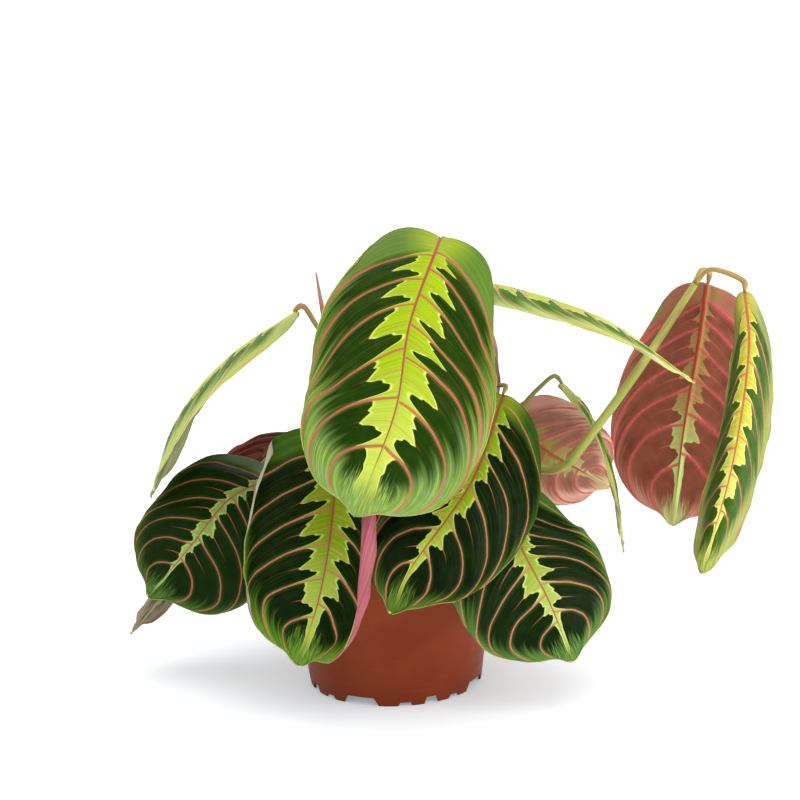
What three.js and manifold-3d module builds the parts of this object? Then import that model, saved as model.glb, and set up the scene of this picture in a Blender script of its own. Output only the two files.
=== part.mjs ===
// Potted prayer plant: nursery pot, potting soil, two leaning stems, one rolled new leaf, and
// leaves that each have a blade and a petiole. Millimetres, +Z up, origin at the middle of the
// pot's foot on the floor; the side with the long crown leaf faces -Y.
import * as THREE from 'three';
import Module from 'manifold-3d';

// pot
const POT_SIDES = 48;
const POT_HEIGHT = 105;
const FOOT_RADIUS = 43;
const SHOULDER_Z = 93;
const SHOULDER_RADIUS = 54.4;
const COLLAR_RADIUS = 57.6;
const RIM_RADIUS = 59.2;
const POT_WALL = 1.2;
const SKIRT_HEIGHT = 5.2;
const POT_FLOOR = 1.4;
const PAD_RADIUS = 8;
const DRAIN = { radius: 4, circle: 27, count: 8 };
// openings in the foot, degrees from -Y towards +X
const NOTCH_TURNS = 4;
const NOTCHES = [
  { from: -37, mouth: 25.5, high: 4.3, draft: 3.5 },
  { from: 1, mouth: 9.5, high: 1.9, draft: 1.5 },
  { from: 18.5, mouth: 10, high: 3.6, draft: 1.5 },
  { from: 36.5, mouth: 9.5, high: 1.9, draft: 1.5 },
];

// soil
const SOIL_TOP = 93;
const SOIL_BUMP = 1;
const SOIL_SIDES = 36;
const SOIL_RINGS = [13, 26, 38, 47];
const SOCKET_FLOOR = 82;
const SOCKET_SIDES = 8;
const GAP = 0.3;

// leaves
const BLADE_THICKNESS = 0.8;
const BASE_REACH = 0.17;
const RIB_SWEEP = 2.1;
const RIB_LEAN = 0.6;
const BLUNT = 2.35;
const PLEAT = 0.5;
const WAVE = 1;
const WAVES = 3;
const BEND_STEPS = 14;
const PETIOLE_SIDES = 6;
const PETIOLE_STEPS = 9;
const PETIOLE_RADII = [2.2, 2.1, 1.6, 1.3, 1.1];
const SHOOT_STEPS = 6;
const SHOOT_RADII = [1, 1.1, 1.1, 1];
const APPROACH = 5;

// rib: four points along the midrib, base to tip. faces: where the upper side looks at the base
// and at the tip. bend: for the side left of the midrib and the side right of it, degrees of fold
// beside the midrib, arch over the half and roll of the margin, each at the base and at the tip;
// plus bends away from the upper side. foot: where the petiole stands in the soil.
// petiole: points between the soil and the base of the blade.
const LEAVES = {
  crown: {
    rib: [[28, -28, 229], [12, -69, 197], [4, -98, 163], [-14, -103, 120]],
    faces: [[0.12, -0.5, 0.86], [-0.05, -1, 0.12]],
    width: 90,
    bend: [[12, 9, 27, 16, 0, 0], [1, -2, 20, 27, 0, 0]],
    lobe: 8,
    uneven: -0.04,
    foot: [6, 2],
    petiole: [[8, 4, 130], [14, 7, 180], [21, 4, 213]],
    skew: 1.26,
    blunt: 2.75,
  },
  left_front: {
    rib: [[-24, -30, 138], [-27, -62, 104], [-34, -72, 69], [-44, -74, 39]],
    faces: [[0, -0.9, 0.6], [0.1, -1, 0.2]],
    width: 88,
    bend: [[-44, -34, -45, -30, -100, -90], [0, 0, 0, 0, -120, -90]],
    rollFrom: 0.7,
    columns: 5,
    foot: [-8, -8],
    petiole: [[-11, -10, 118], [-17, -12, 140]],
  },
  right_front: {
    rib: [[56, -22, 150], [39, -62, 119], [10, -83, 85], [1, -88, 68]],
    faces: [[-0.05, -0.8, 0.7], [0.1, -1, 0.2]],
    width: 68,
    bend: [[32, -6, 29, 7, 0, 0], [9, -7, 22, 24, 0, 0]],
    foot: [18, -6],
    petiole: [[26, -4, 118], [44, 0, 144]],
    uneven: -0.11,
    skew: 0.92,
    blunt: 2.2,
    lobe: 4,
  },
  low_right: {
    rib: [[52, -36, 112], [60, -59, 88], [73, -69, 62], [83, -70, 35]],
    faces: [[0.2, -0.6, 0.8], [0.1, -0.9, 0.4]],
    width: 79,
    bend: [[10, 6, 19, 11, 0, 0], [-7, 8, 2, 12, 0, 0]],
    foot: [12, -18],
    petiole: [[19, -19, 106], [37, -24, 117]],
    skew: 1.16,
    lobe: 1,
    blunt: 2.4,
    uneven: 0.05,
  },
  low_left: {
    rib: [[-53, -11, 110], [-77, -23, 103], [-97, -32, 82], [-115, -37, 62]],
    faces: [[-0.3, -0.3, 0.9], [-0.3, -0.9, 0.5]],
    width: 81,
    bend: [[-5, 13, -2, 18, 0, 0], [-5, 2, 9, 12, 0, 0]],
    foot: [-18, -2],
    petiole: [[-23, -2, 110], [-38, -3, 121]],
    uneven: -0.08,
    skew: 0.85,
    blunt: 2.48,
    lobe: 2,
  },
  lowest_left: {
    rib: [[-80, 24, 81], [-98, 26, 60], [-117, 24, 39], [-131, 20, 24]],
    faces: [[-0.6, 0.2, 0.75], [-0.6, 0.2, 0.75]],
    width: 38,
    bend: [[-20, -20, 10, 10, 0, 0], [20, 20, 10, 10, 0, 0]],
    ribs: 6,
    foot: [-20, 12],
    petiole: [[-28, 14, 108], [-44, 18, 118], [-62, 22, 108]],
  },
  high_left: {
    rib: [[-44, 0, 189], [-77, -4, 168], [-102, -6, 140], [-116, -6, 104]],
    faces: [[-0.5, 0.1, 0.8], [-0.75, 0.1, 0.6]],
    width: 68,
    bend: [[8, 2, 9, 14, 20, 0], [14, 9, 13, 9, -70, 0]],
    skew: 1.1,
    blunt: 2.27,
    lobe: 6,
  },
  high_right: {
    rib: [[44, -12, 205], [79, -26, 197], [110, -36, 185], [142, -42, 161]],
    faces: [[0.2, 0.1, 0.97], [0.5, 0.04, 0.87]],
    width: 51,
    bend: [[4, 10, 10, 5, 0, 0], [17, -2, 20, -3, 0, 0]],
    foot: [14, 6],
    petiole: [[18, 7, 130], [24, 6, 175], [31, 0, 198]],
    skew: 0.88,
    blunt: 2.47,
    lobe: 3,
  },
  far_right_back: {
    rib: [[160, 22, 192], [157, 31, 161], [149, 32, 114], [143, 27, 71]],
    faces: [[0.65, 0.7, 0.3], [0.3, 0.95, 0]],
    width: 76,
    bend: [[8, -6, 16, 6, 0, 0], [-45, 2, 0, 13, 0, 0]],
    skew: 1.45,
    blunt: 2.15,
    lobe: 1,
  },
  far_right_front: {
    rib: [[174, -8, 194], [173, -30, 168], [164, -42, 118], [150, -46, 69]],
    faces: [[0, -0.95, 0.3], [-0.05, -0.95, 0.1]],
    width: 69,
    bend: [[60, 56, 9, 12, 0, 0], [83, 73, 14, 18, 0, 0]],
    skew: 1.13,
    blunt: 2.23,
    lobe: 1,
  },
  behind_right: {
    rib: [[60, 25, 128], [77, 33, 108], [93, 38, 96], [108, 41, 86]],
    faces: [[-0.2, 1, 0.05], [-0.2, 1, 0.05]],
    width: 59,
    bend: [[-36, -14, 5, 0, 0, 0], [7, 15, 18, 19, 0, 0]],
    foot: [22, 12],
    petiole: [[30, 14, 108], [46, 17, 120]],
    skew: 0.94,
    lobe: 2,
    blunt: 2.31,
  },
  mid_right: {
    rib: [[86, 4, 148], [100, 4, 131], [111, 2, 102], [115, 1, 66]],
    faces: [[0.9, -0.05, 0.36], [0.95, 0, 0.25]],
    width: 32,
    bend: [[0, 0, 14, 14, 0, 0], [0, 0, 14, 14, 0, 0]],
    ribs: 6,
    foot: [26, 2],
    petiole: [[38, 2, 112], [58, 4, 128], [74, 5, 145]],
  },
  right_behind_crown: {
    rib: [[33, 10, 190], [40, 16, 172], [43, 20, 148], [41, 22, 128]],
    faces: [[0.5, 0.85, 0.3], [0.3, 0.95, 0.1]],
    width: 38,
    bend: [[0, 0, 10, 10, 0, 0], [0, 0, 10, 10, 0, 0]],
    ribs: 6,
    foot: [4, 12],
    petiole: [[7, 12, 130], [16, 10, 170]],
  },
  left_under: {
    rib: [[-30, 27, 117], [-56, 46, 111], [-84, 60, 89], [-103, 64, 69]],
    faces: [[-0.2, 0.75, 0.6], [-0.4, 0.8, 0.4]],
    width: 30,
    bend: [[0, 0, 10, 10, 0, 0], [0, 0, 10, 10, 0, 0]],
    ribs: 6,
    foot: [-12, 20],
    petiole: [[-15, 20, 106]],
  },
  back_top: {
    rib: [[4, 26, 178], [3, 58, 172], [0, 86, 142], [-4, 98, 98]],
    faces: [[0, 0.5, 0.85], [0, 1, 0.15]],
    width: 72,
    bend: [[6, 6, 20, 20, 0, 0], [6, 6, 20, 20, 0, 0]],
    ribs: 6,
    foot: [-4, 14],
    petiole: [[-4, 14, 130], [0, 13, 165]],
  },
  back_left: {
    rib: [[-8, 36, 132], [-24, 64, 122], [-38, 84, 96], [-46, 92, 62]],
    faces: [[-0.4, 0.5, 0.8], [-0.5, 0.85, 0.3]],
    width: 60,
    bend: [[6, 6, 16, 16, 0, 0], [6, 6, 16, 16, 0, 0]],
    ribs: 6,
    foot: [-6, 24],
    petiole: [[-6, 25, 112], [-6, 30, 126]],
  },
  back_right: {
    rib: [[28, 34, 134], [46, 58, 124], [62, 80, 98], [70, 88, 66]],
    faces: [[0.3, 0.5, 0.8], [0.4, 0.9, 0.2]],
    width: 64,
    bend: [[6, 6, 16, 16, 0, 0], [6, 6, 16, 16, 0, 0]],
    ribs: 6,
    foot: [14, 20],
    petiole: [[16, 22, 112], [20, 25, 128]],
  },
  back_low: {
    rib: [[8, 42, 120], [14, 72, 110], [18, 92, 82], [20, 99, 50]],
    faces: [[0, 0.5, 0.85], [0, 1, 0.3]],
    width: 60,
    bend: [[6, 6, 14, 14, 0, 0], [6, 6, 14, 14, 0, 0]],
    ribs: 6,
    foot: [4, 28],
    petiole: [[5, 29, 108]],
  },
};

// stems: path from the soil, radii from the soil to the top, and what grows from the top
const STEMS = {
  right: {
    foot: [34, 8],
    path: [[45, 6, 110], [62, 1, 112], [77, -6, 107], [86, -12, 111], [98, -17, 127], [123, -9, 158],
      [151, 2, 196]],
    radii: [3, 2.8, 2.6, 2.4, 2.5, 2.9, 2.8, 2.5, 2.2],
    steps: 18,
  },
  left: {
    foot: [-9, 6],
    path: [[-16, 6, 136], [-26, 4, 168]],
    radii: [3, 2.8, 2.6, 2.4],
    steps: 8,
  },
};
const STEM_SIDES = 8;

// petioles that grow from a stem's top, and the rolled leaf beside one of them
const SHOOTS = {
  far_right_back: [[150.7, 3.3, 196.3], [152.2, 4.2, 198.4], [155, 10, 201]],
  far_right_front: [[151.8, 0.9, 196.3], [153.4, 1.4, 198.4], [158, -1, 203.5]],
  high_left: [[-26.1, 2.7, 168.4], [-27, 2.6, 171.4], [-33, 2, 181]],
};
const ROLLED_LEAF = {
  path: [[-26.1, 5.3, 168.4], [-27, 5.2, 171.4], [-30, 5, 188], [-32.5, 5, 207]],
  radii: [1, 1.2, 1.3, 1, 0.4],
};

const vector = (list) => new THREE.Vector3(list[0], list[1], list[2]);

const clamp = (value, low, high) => Math.min(high, Math.max(low, value));

const mix = (a, b, share) => a + (b - a) * share;

const smooth = (from, to, value) => {
  const share = clamp((value - from) / (to - from), 0, 1);
  return share * share * (3 - 2 * share);
};

const toRadians = THREE.MathUtils.degToRad;

const look = (color, roughness) => new THREE.MeshStandardMaterial({ color, roughness, metalness: 0 });

const LOOKS = {
  pot: look(0x8f4a31, 0.55),
  soil: look(0x2e211a, 0.95),
  blade: look(0x3f6b2a, 0.5),
  petiole: look(0x8a9a4a, 0.55),
  stem: look(0x9aab52, 0.55),
  rolled: look(0x9a6b46, 0.6),
};

const group = new THREE.Group();
group.name = 'prayer_plant';

function addMesh(name, geometry, material) {
  geometry.computeVertexNormals();
  const mesh = new THREE.Mesh(geometry, material.clone());
  mesh.name = name;
  group.add(mesh);
}

function geometryOf(points, triangles) {
  const geometry = new THREE.BufferGeometry();
  geometry.setAttribute('position', new THREE.Float32BufferAttribute(points.flat(), 3));
  geometry.setIndex(triangles.flat());
  return geometry;
}

const wasm = await Module();
wasm.setup();

function toSolid(geometry) {
  return new wasm.Manifold(new wasm.Mesh({
    numProp: 3,
    vertProperties: new Float32Array(geometry.getAttribute('position').array),
    triVerts: new Uint32Array(geometry.getIndex().array),
  }));
}

function fromSolid(solid) {
  const mesh = solid.getMesh();
  const geometry = new THREE.BufferGeometry();
  geometry.setAttribute('position', new THREE.BufferAttribute(mesh.vertProperties, 3));
  geometry.setIndex(new THREE.BufferAttribute(mesh.triVerts, 1));
  return geometry;
}

// solid between closed rings of points, with a flat fan on both ends
function lofted(rings) {
  const sides = rings[0].length;
  const points = rings.flat();
  const triangles = [];
  for (let i = 0; i + 1 < rings.length; i += 1) {
    for (let j = 0; j < sides; j += 1) {
      const a = i * sides + j;
      const b = i * sides + ((j + 1) % sides);
      triangles.push([a, b, b + sides], [a, b + sides, a + sides]);
    }
  }
  const middle = (ring) => [0, 1, 2].map((k) => ring.reduce((sum, p) => sum + p[k], 0) / sides);
  const last = (rings.length - 1) * sides;
  const low = points.push(middle(rings[0])) - 1;
  const high = points.push(middle(rings[rings.length - 1])) - 1;
  for (let j = 0; j < sides; j += 1) {
    const next = (j + 1) % sides;
    triangles.push([low, next, j], [high, last + j, last + next]);
  }
  return geometryOf(points, triangles);
}

// round bar along a smooth path, the radii spread evenly over its length
function bar(path, radii, sides, steps) {
  const curve = new THREE.CatmullRomCurve3(path.map(vector), false, 'centripetal');
  const rings = [];
  const side = new THREE.Vector3(1, 0, 0);
  const turn = new THREE.Quaternion();
  let before = new THREE.Vector3(0, 0, 1);
  for (let i = 0; i <= steps; i += 1) {
    const share = i / steps;
    const point = curve.getPointAt(share);
    const tangent = curve.getTangentAt(share);
    side.applyQuaternion(turn.setFromUnitVectors(before, tangent));
    before = tangent;
    const other = new THREE.Vector3().crossVectors(tangent, side);
    const place = share * (radii.length - 1);
    const index = Math.min(Math.floor(place), radii.length - 2);
    const radius = mix(radii[index], radii[index + 1], place - index);
    rings.push(Array.from({ length: sides }, (_, j) => {
      const angle = (j / sides) * Math.PI * 2;
      const p = point.clone();
      p.addScaledVector(side, radius * Math.cos(angle));
      p.addScaledVector(other, radius * Math.sin(angle));
      return [p.x, p.y, p.z];
    }));
  }
  return lofted(rings);
}

// upright cutter with a round outline
function post(x, y, radius, from, to, sides) {
  const ring = (z) => Array.from({ length: sides }, (_, i) => {
    const angle = (i / sides) * Math.PI * 2;
    return [x + radius * Math.cos(angle), y + radius * Math.sin(angle), z];
  });
  return toSolid(lofted([ring(from), ring(to)]));
}

// pot
const potSlope = (SHOULDER_RADIUS - FOOT_RADIUS) / SHOULDER_Z;
const innerRadius = (z) => FOOT_RADIUS - POT_WALL + potSlope * z;

// body of revolution; the outline runs from the axis, outwards and up, back to the axis
function turned(outline, sides) {
  const points = [];
  const triangles = [];
  const rows = outline.map(([radius, z]) => {
    const start = points.length;
    const count = radius === 0 ? 1 : sides;
    for (let i = 0; i < count; i += 1) {
      const angle = (i / sides) * Math.PI * 2;
      points.push([radius * Math.cos(angle), radius * Math.sin(angle), z]);
    }
    return { start, count };
  });
  for (let k = 0; k + 1 < rows.length; k += 1) {
    const low = rows[k];
    const high = rows[k + 1];
    for (let i = 0; i < sides; i += 1) {
      const next = (i + 1) % sides;
      if (high.count > 1) triangles.push([low.start + (i % low.count), high.start + next, high.start + i]);
      if (low.count > 1) triangles.push([low.start + i, low.start + next, high.start + (next % high.count)]);
    }
  }
  return geometryOf(points, triangles);
}

// wedge that narrows upwards, across the wall of the foot
function notch(from, mouth, high, draft) {
  const count = Math.max(2, Math.round(mouth / 5));
  const ring = (z, trim) => {
    const arc = (radius) => Array.from({ length: count + 1 }, (_, i) => {
      const angle = toRadians(mix(from + trim, from + mouth - trim, i / count));
      return [radius * Math.sin(angle), -radius * Math.cos(angle), z];
    });
    return [...arc(FOOT_RADIUS + 4), ...arc(FOOT_RADIUS - 4).reverse()];
  };
  return toSolid(lofted([ring(-1, 0), ring(0, 0), ring(high, draft)]));
}

function buildPot() {
  const inside = SKIRT_HEIGHT + POT_FLOOR;
  const outline = [
    [0, 0],
    [PAD_RADIUS - 0.4, 0],
    [PAD_RADIUS, 0.4],
    [PAD_RADIUS, SKIRT_HEIGHT],
    [innerRadius(SKIRT_HEIGHT) - 0.4, SKIRT_HEIGHT],
    [innerRadius(SKIRT_HEIGHT), SKIRT_HEIGHT - 0.4],
    [innerRadius(0), 0],
    [FOOT_RADIUS - 0.3, 0],
    [FOOT_RADIUS, 0.4],
    [SHOULDER_RADIUS - 0.2, SHOULDER_Z - 1.5],
    [SHOULDER_RADIUS + 0.5, SHOULDER_Z - 0.5],
    [COLLAR_RADIUS - 0.5, SHOULDER_Z],
    [COLLAR_RADIUS, SHOULDER_Z + 0.6],
    [RIM_RADIUS - 0.9, POT_HEIGHT - 2.6],
    [RIM_RADIUS, POT_HEIGHT - 2],
    [RIM_RADIUS, POT_HEIGHT - 0.5],
    [RIM_RADIUS - 0.5, POT_HEIGHT],
    [RIM_RADIUS - 1.9, POT_HEIGHT],
    [RIM_RADIUS - 2.3, POT_HEIGHT - 0.5],
    [COLLAR_RADIUS - POT_WALL, SHOULDER_Z + 2],
    [COLLAR_RADIUS - POT_WALL - 0.6, SHOULDER_Z + 1.3],
    [SHOULDER_RADIUS - POT_WALL + 0.5, SHOULDER_Z + 0.8],
    [innerRadius(SHOULDER_Z - 0.5), SHOULDER_Z - 0.5],
    [innerRadius(inside + 1), inside + 1],
    [innerRadius(inside) - 1, inside],
    [0, inside],
  ];
  let pot = toSolid(turned(outline, POT_SIDES));
  for (let turn = 0; turn < NOTCH_TURNS; turn += 1) {
    for (const { from, mouth, high, draft } of NOTCHES) {
      pot = pot.subtract(notch(from + (turn * 360) / NOTCH_TURNS, mouth, high, draft));
    }
  }
  for (let i = 0; i < DRAIN.count; i += 1) {
    const angle = ((i + 0.5) / DRAIN.count) * Math.PI * 2;
    const x = DRAIN.circle * Math.cos(angle);
    const y = DRAIN.circle * Math.sin(angle);
    pot = pot.subtract(post(x, y, DRAIN.radius, SKIRT_HEIGHT - 1, inside + 1, 14));
  }
  return fromSolid(pot);
}

// soil with an uneven top and a socket for everything that stands in it
function soilHeight(x, y) {
  const wide = Math.sin(x * 0.11 + 1) * Math.cos(y * 0.13);
  const fine = Math.sin(x * 0.31 + y * 0.23);
  return SOIL_TOP + SOIL_BUMP * (wide + 0.4 * fine);
}

function buildSoil(sockets) {
  const floor = SKIRT_HEIGHT + POT_FLOOR + GAP;
  const edge = innerRadius(SOIL_TOP - 3) - 1.2 * GAP;
  const ring = (radius, height) => Array.from({ length: SOIL_SIDES }, (_, i) => {
    const angle = (i / SOIL_SIDES) * Math.PI * 2;
    const x = radius * Math.cos(angle);
    const y = radius * Math.sin(angle);
    return [x, y, height(x, y)];
  });
  const rings = [
    ring(innerRadius(floor) - 1.4 - GAP, () => floor),
    ring(innerRadius(floor + 1.4) - 1.2 * GAP, () => floor + 1.4),
    ring(edge, () => SOIL_TOP - 3),
    ring(edge - 1.2, (x, y) => soilHeight(x, y) - 1),
    ...[...SOIL_RINGS].reverse().map((radius) => ring(radius, soilHeight)),
  ];
  let soil = toSolid(lofted(rings));
  for (const [x, y, radius] of sockets) {
    const wide = (radius + GAP) / Math.cos(Math.PI / SOCKET_SIDES);
    soil = soil.subtract(post(x, y, wide, SOCKET_FLOOR - GAP, SOIL_TOP + 9, SOCKET_SIDES));
  }
  return fromSolid(soil);
}

// blade: s runs along the midrib, t across it from -1 to 1, the rows follow the side ribs
function bladeOf(leaf) {
  const curve = new THREE.CatmullRomCurve3(leaf.rib.map(vector), false, 'catmullrom', 0.5);
  const length = curve.getLength();
  const faces = leaf.faces.map((face) => vector(face).normalize());
  const ribs = leaf.ribs ?? 8;
  const skew = leaf.skew ?? 1;
  const lobe = leaf.lobe ?? 4;
  const tip = leaf.tip ?? 5;
  const uneven = leaf.uneven ?? 0;
  const blunt = leaf.blunt ?? BLUNT;
  const rollFrom = leaf.rollFrom ?? 0.6;

  const surface = (s, t) => {
    const q = Math.abs(t);
    const side = Math.sign(t);
    const reach = 1 - (1 - BASE_REACH) * (1 - s) ** RIB_SWEEP;
    const curl = (1 - RIB_LEAN) * (1 - Math.cos((Math.PI / 2) * q)) + RIB_LEAN * q;
    let along = s + (reach - s) * curl;
    const place = mix(reach, along, smooth(0, 0.06, s) * (1 - smooth(0.3, 0.6, s)));
    const swell = Math.max(0, 1 - Math.abs(2 * place ** skew - 1) ** blunt) ** (1 / blunt);
    const half = (leaf.width / 2) * (1 + uneven * side) * swell;
    const across = half * Math.sin((Math.PI / 2) * q);
    along -= (lobe / length) * (1 - s) ** 6 * Math.sin(Math.PI * Math.min(q * 1.15, 1));
    const point = Math.exp(-((across / (0.07 * leaf.width)) ** 2));
    along += (tip / length) * point * smooth(0.84, 1, along);
    const share = clamp(along, 0, 1);

    const centre = curve.getPointAt(share);
    const tangent = curve.getTangentAt(share);
    centre.addScaledVector(tangent, (along - share) * length);
    const face = faces[0].clone().lerp(faces[1], share).normalize();
    const right = new THREE.Vector3().crossVectors(tangent, face).normalize();
    const up = new THREE.Vector3().crossVectors(right, tangent);

    const bend = leaf.bend[side < 0 ? 0 : 1];
    const fold = mix(bend[0], bend[1], share);
    const arch = mix(bend[2], bend[3], share);
    const roll = mix(bend[4], bend[5], share);
    const angleAt = (x) => {
      const wide = x / (leaf.width / 2);
      const near = half > 0 ? x / half : 0;
      const rolled = clamp((near - rollFrom) / (1 - rollFrom), 0, 1);
      return toRadians(fold * Math.min(1, wide * 6) + arch * wide + roll * rolled);
    };
    let out = 0;
    let down = 0;
    for (let k = 0; k < BEND_STEPS; k += 1) {
      const angle = angleAt((across * (k + 0.5)) / BEND_STEPS);
      out += (Math.cos(angle) * across) / BEND_STEPS;
      down += (Math.sin(angle) * across) / BEND_STEPS;
    }
    const angle = angleAt(across);
    const normal = up.clone().multiplyScalar(Math.cos(angle));
    normal.addScaledVector(right, side * Math.sin(angle));
    centre.addScaledVector(right, side * out).addScaledVector(up, -down);

    const pleat = PLEAT * Math.cos(2 * Math.PI * ribs * s) * Math.sin(Math.PI * q) * (1 - s) ** 0.4;
    const ripple = WAVE * Math.sin(2 * Math.PI * WAVES * s + side) * q ** 3 * (1 - s) ** 0.3;
    centre.addScaledVector(normal, pleat + ripple);
    return { centre, normal };
  };

  const rows = ribs * 2;
  const columns = (leaf.columns ?? (ribs > 6 ? 4 : 3)) * 2;
  const points = [];
  const put = (s, t) => {
    const { centre, normal } = surface(s, t);
    const upper = centre.clone().addScaledVector(normal, BLADE_THICKNESS / 2);
    const lower = centre.clone().addScaledVector(normal, -BLADE_THICKNESS / 2);
    points.push([upper.x, upper.y, upper.z], [lower.x, lower.y, lower.z]);
  };
  for (let i = 0; i < rows; i += 1) {
    for (let j = 0; j <= columns; j += 1) put(i / rows, (2 * j) / columns - 1);
  }
  put(1, 0);
  const at = (i, j, lower) => 2 * (i * (columns + 1) + (i < rows ? j : 0)) + lower;
  const triangles = [];
  for (let i = 0; i < rows; i += 1) {
    for (let j = 0; j < columns; j += 1) {
      const flip = j < columns / 2;
      const quad = [[i, j], [i, j + 1], [i + 1, j + 1], [i + 1, j]];
      const cut = flip ? [[0, 1, 2], [0, 2, 3]] : [[0, 1, 3], [1, 2, 3]];
      for (const corners of cut) {
        const [a, b, c] = corners.map((k) => quad[k]);
        const upper = [at(...a, 0), at(...b, 0), at(...c, 0)];
        if (new Set(upper).size === 3) {
          triangles.push(upper, [at(...a, 1), at(...c, 1), at(...b, 1)]);
        }
      }
    }
  }
  const edge = [];
  for (let j = 0; j <= columns; j += 1) edge.push([0, j]);
  for (let i = 1; i < rows; i += 1) edge.push([i, columns]);
  edge.push([rows, 0]);
  for (let i = rows - 1; i > 0; i -= 1) edge.push([i, 0]);
  for (let k = 0; k < edge.length; k += 1) {
    const a = edge[k];
    const b = edge[(k + 1) % edge.length];
    triangles.push([at(...a, 0), at(...a, 1), at(...b, 1)], [at(...a, 0), at(...b, 1), at(...b, 0)]);
  }
  return { geometry: geometryOf(points, triangles), start: curve.getTangentAt(0) };
}

// path that starts upright in the soil, and its socket
const sockets = [];

function standing(foot, radius, path) {
  const [x, y] = foot;
  sockets.push([x, y, radius]);
  return [[x, y, SOCKET_FLOOR], [x, y, SOIL_TOP + 2], [x, y, SOIL_TOP + 5], ...path];
}

for (const [name, leaf] of Object.entries(LEAVES)) {
  const { geometry, start } = bladeOf(leaf);
  addMesh(`blade_${name}`, geometry, LOOKS.blade);
  const ending = [APPROACH, 2 * GAP].map((back) => {
    const { x, y, z } = vector(leaf.rib[0]).addScaledVector(start, -back);
    return [x, y, z];
  });
  const path = [...(SHOOTS[name] ?? standing(leaf.foot, PETIOLE_RADII[0], leaf.petiole)), ...ending];
  const radii = SHOOTS[name] ? SHOOT_RADII : PETIOLE_RADII;
  const steps = SHOOTS[name] ? SHOOT_STEPS : PETIOLE_STEPS;
  addMesh(`petiole_${name}`, bar(path, radii, PETIOLE_SIDES, steps), LOOKS.petiole);
}

for (const [name, stem] of Object.entries(STEMS)) {
  const path = standing(stem.foot, stem.radii[0], stem.path);
  addMesh(`stem_${name}`, bar(path, stem.radii, STEM_SIDES, stem.steps), LOOKS.stem);
}
addMesh('rolled_leaf', bar(ROLLED_LEAF.path, ROLLED_LEAF.radii, PETIOLE_SIDES, 8), LOOKS.rolled);
addMesh('pot', buildPot(), LOOKS.pot);
addMesh('soil', buildSoil(sockets), LOOKS.soil);

export default group;
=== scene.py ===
"""Potted prayer plant: nursery pot, potting soil, leaning stems, petioles and patterned leaves."""

import math
import random
from functools import partial

import bmesh
import bpy
import numpy as np
from mathutils import Matrix, Vector


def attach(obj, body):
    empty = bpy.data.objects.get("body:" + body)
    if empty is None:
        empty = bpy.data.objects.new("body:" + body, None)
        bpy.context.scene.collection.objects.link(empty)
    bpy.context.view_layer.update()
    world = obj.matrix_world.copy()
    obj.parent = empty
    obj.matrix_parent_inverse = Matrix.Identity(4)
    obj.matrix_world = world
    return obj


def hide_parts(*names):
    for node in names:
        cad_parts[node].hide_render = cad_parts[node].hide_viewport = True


bl_info = {
    "name": "Potted prayer plant",
    "version": (1, 0, 0),
    "blender": (4, 5, 0),
    "location": "3D View > Sidebar > Plant",
    "description": "Prayer plant with patterned leaves in a moulded nursery pot",
    "category": "Add Mesh",
}

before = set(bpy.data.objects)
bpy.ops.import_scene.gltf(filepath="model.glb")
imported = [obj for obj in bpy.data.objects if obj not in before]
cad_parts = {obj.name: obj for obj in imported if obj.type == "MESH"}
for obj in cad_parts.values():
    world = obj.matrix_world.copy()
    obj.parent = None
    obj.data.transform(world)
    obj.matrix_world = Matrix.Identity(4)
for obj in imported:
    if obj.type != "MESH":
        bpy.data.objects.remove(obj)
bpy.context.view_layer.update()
MM = 0.001

# pot, millimetres
POT_HEIGHT = 105
FOOT_RADIUS = 43
SHOULDER_Z = 93
SHOULDER_RADIUS = 54.4
POT_SLOPE = (SHOULDER_RADIUS - FOOT_RADIUS) / SHOULDER_Z
COLLAR_RADIUS = 57.6
RIM_RADIUS = 59.2
POT_WALL = 1.2
SKIRT_HEIGHT = 5.2
POT_FLOOR = 1.4
PAD_RADIUS = 8
DRAIN_RADIUS = 4
DRAIN_CIRCLE = 27
DRAIN_COUNT = 8
# openings in the foot for every quarter turn: start and mouth in degrees, height, draft in degrees
NOTCHES = [(-37, 25.5, 4.3, 3.5), (1, 9.5, 1.9, 1.5), (18.5, 10, 3.6, 1.5), (36.5, 9.5, 1.9, 1.5)]

# soil
SOIL_TOP = 93
SOIL_BUMP = 1
SOCKET_FLOOR = 82
GAP = 0.3

# leaves: a side rib meets the margin further along the blade than it leaves the midrib. BASE_REACH is
# how far the first one does, RIB_SWEEP how soon the others run ahead of it and RIB_LEAN how straight
# they are. BLUNT shapes the outline, and 2 would be an ellipse.
BASE_REACH = 0.17
RIB_SWEEP = 3.4
RIB_LEAN = 0.42
BLUNT = 2.35
# height of the panels between the ribs and of the margin's waves, and how many waves there are
PLEAT = 0.5
WAVE = 1
WAVES = 3
# drawn-out point at the tip, and steps in which a cross-section is bent
TIP = 5
BEND_STEPS = 14
# midrib and side ribs are sunk into the upper side by these depths, over these half widths
CHANNEL_DEPTH = 0.45
CHANNEL_HALF = 1.1
GROOVE_DEPTH = 0.22
GROOVE_HALF = 0.8

# stalks: last straight run of a petiole, radii from foot to blade, for petioles out of the soil and
# for those out of a stem, the share by which stems are slimmer above their foot, and the ring and
# the sheath at a stem's node
APPROACH = 5
PETIOLE_RADII = [2.2, 2.1, 1.6, 1.3, 1.1]
SHOOT_RADII = [1, 1.25, 1.45, 1.3]
STEM_SLIM = 0.14
NODE_RING = 0.35
NODE_SHEATH = 0.3

# crumbs keep this far from the middle of every stalk
CRUMB_CLEARANCE = 4
CRUMB_SEED = 41
# faces along and across a leaf on the far side, as a share of those of the others
HIDDEN_DETAIL = 0.75
LEAF_SEED = 100

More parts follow.
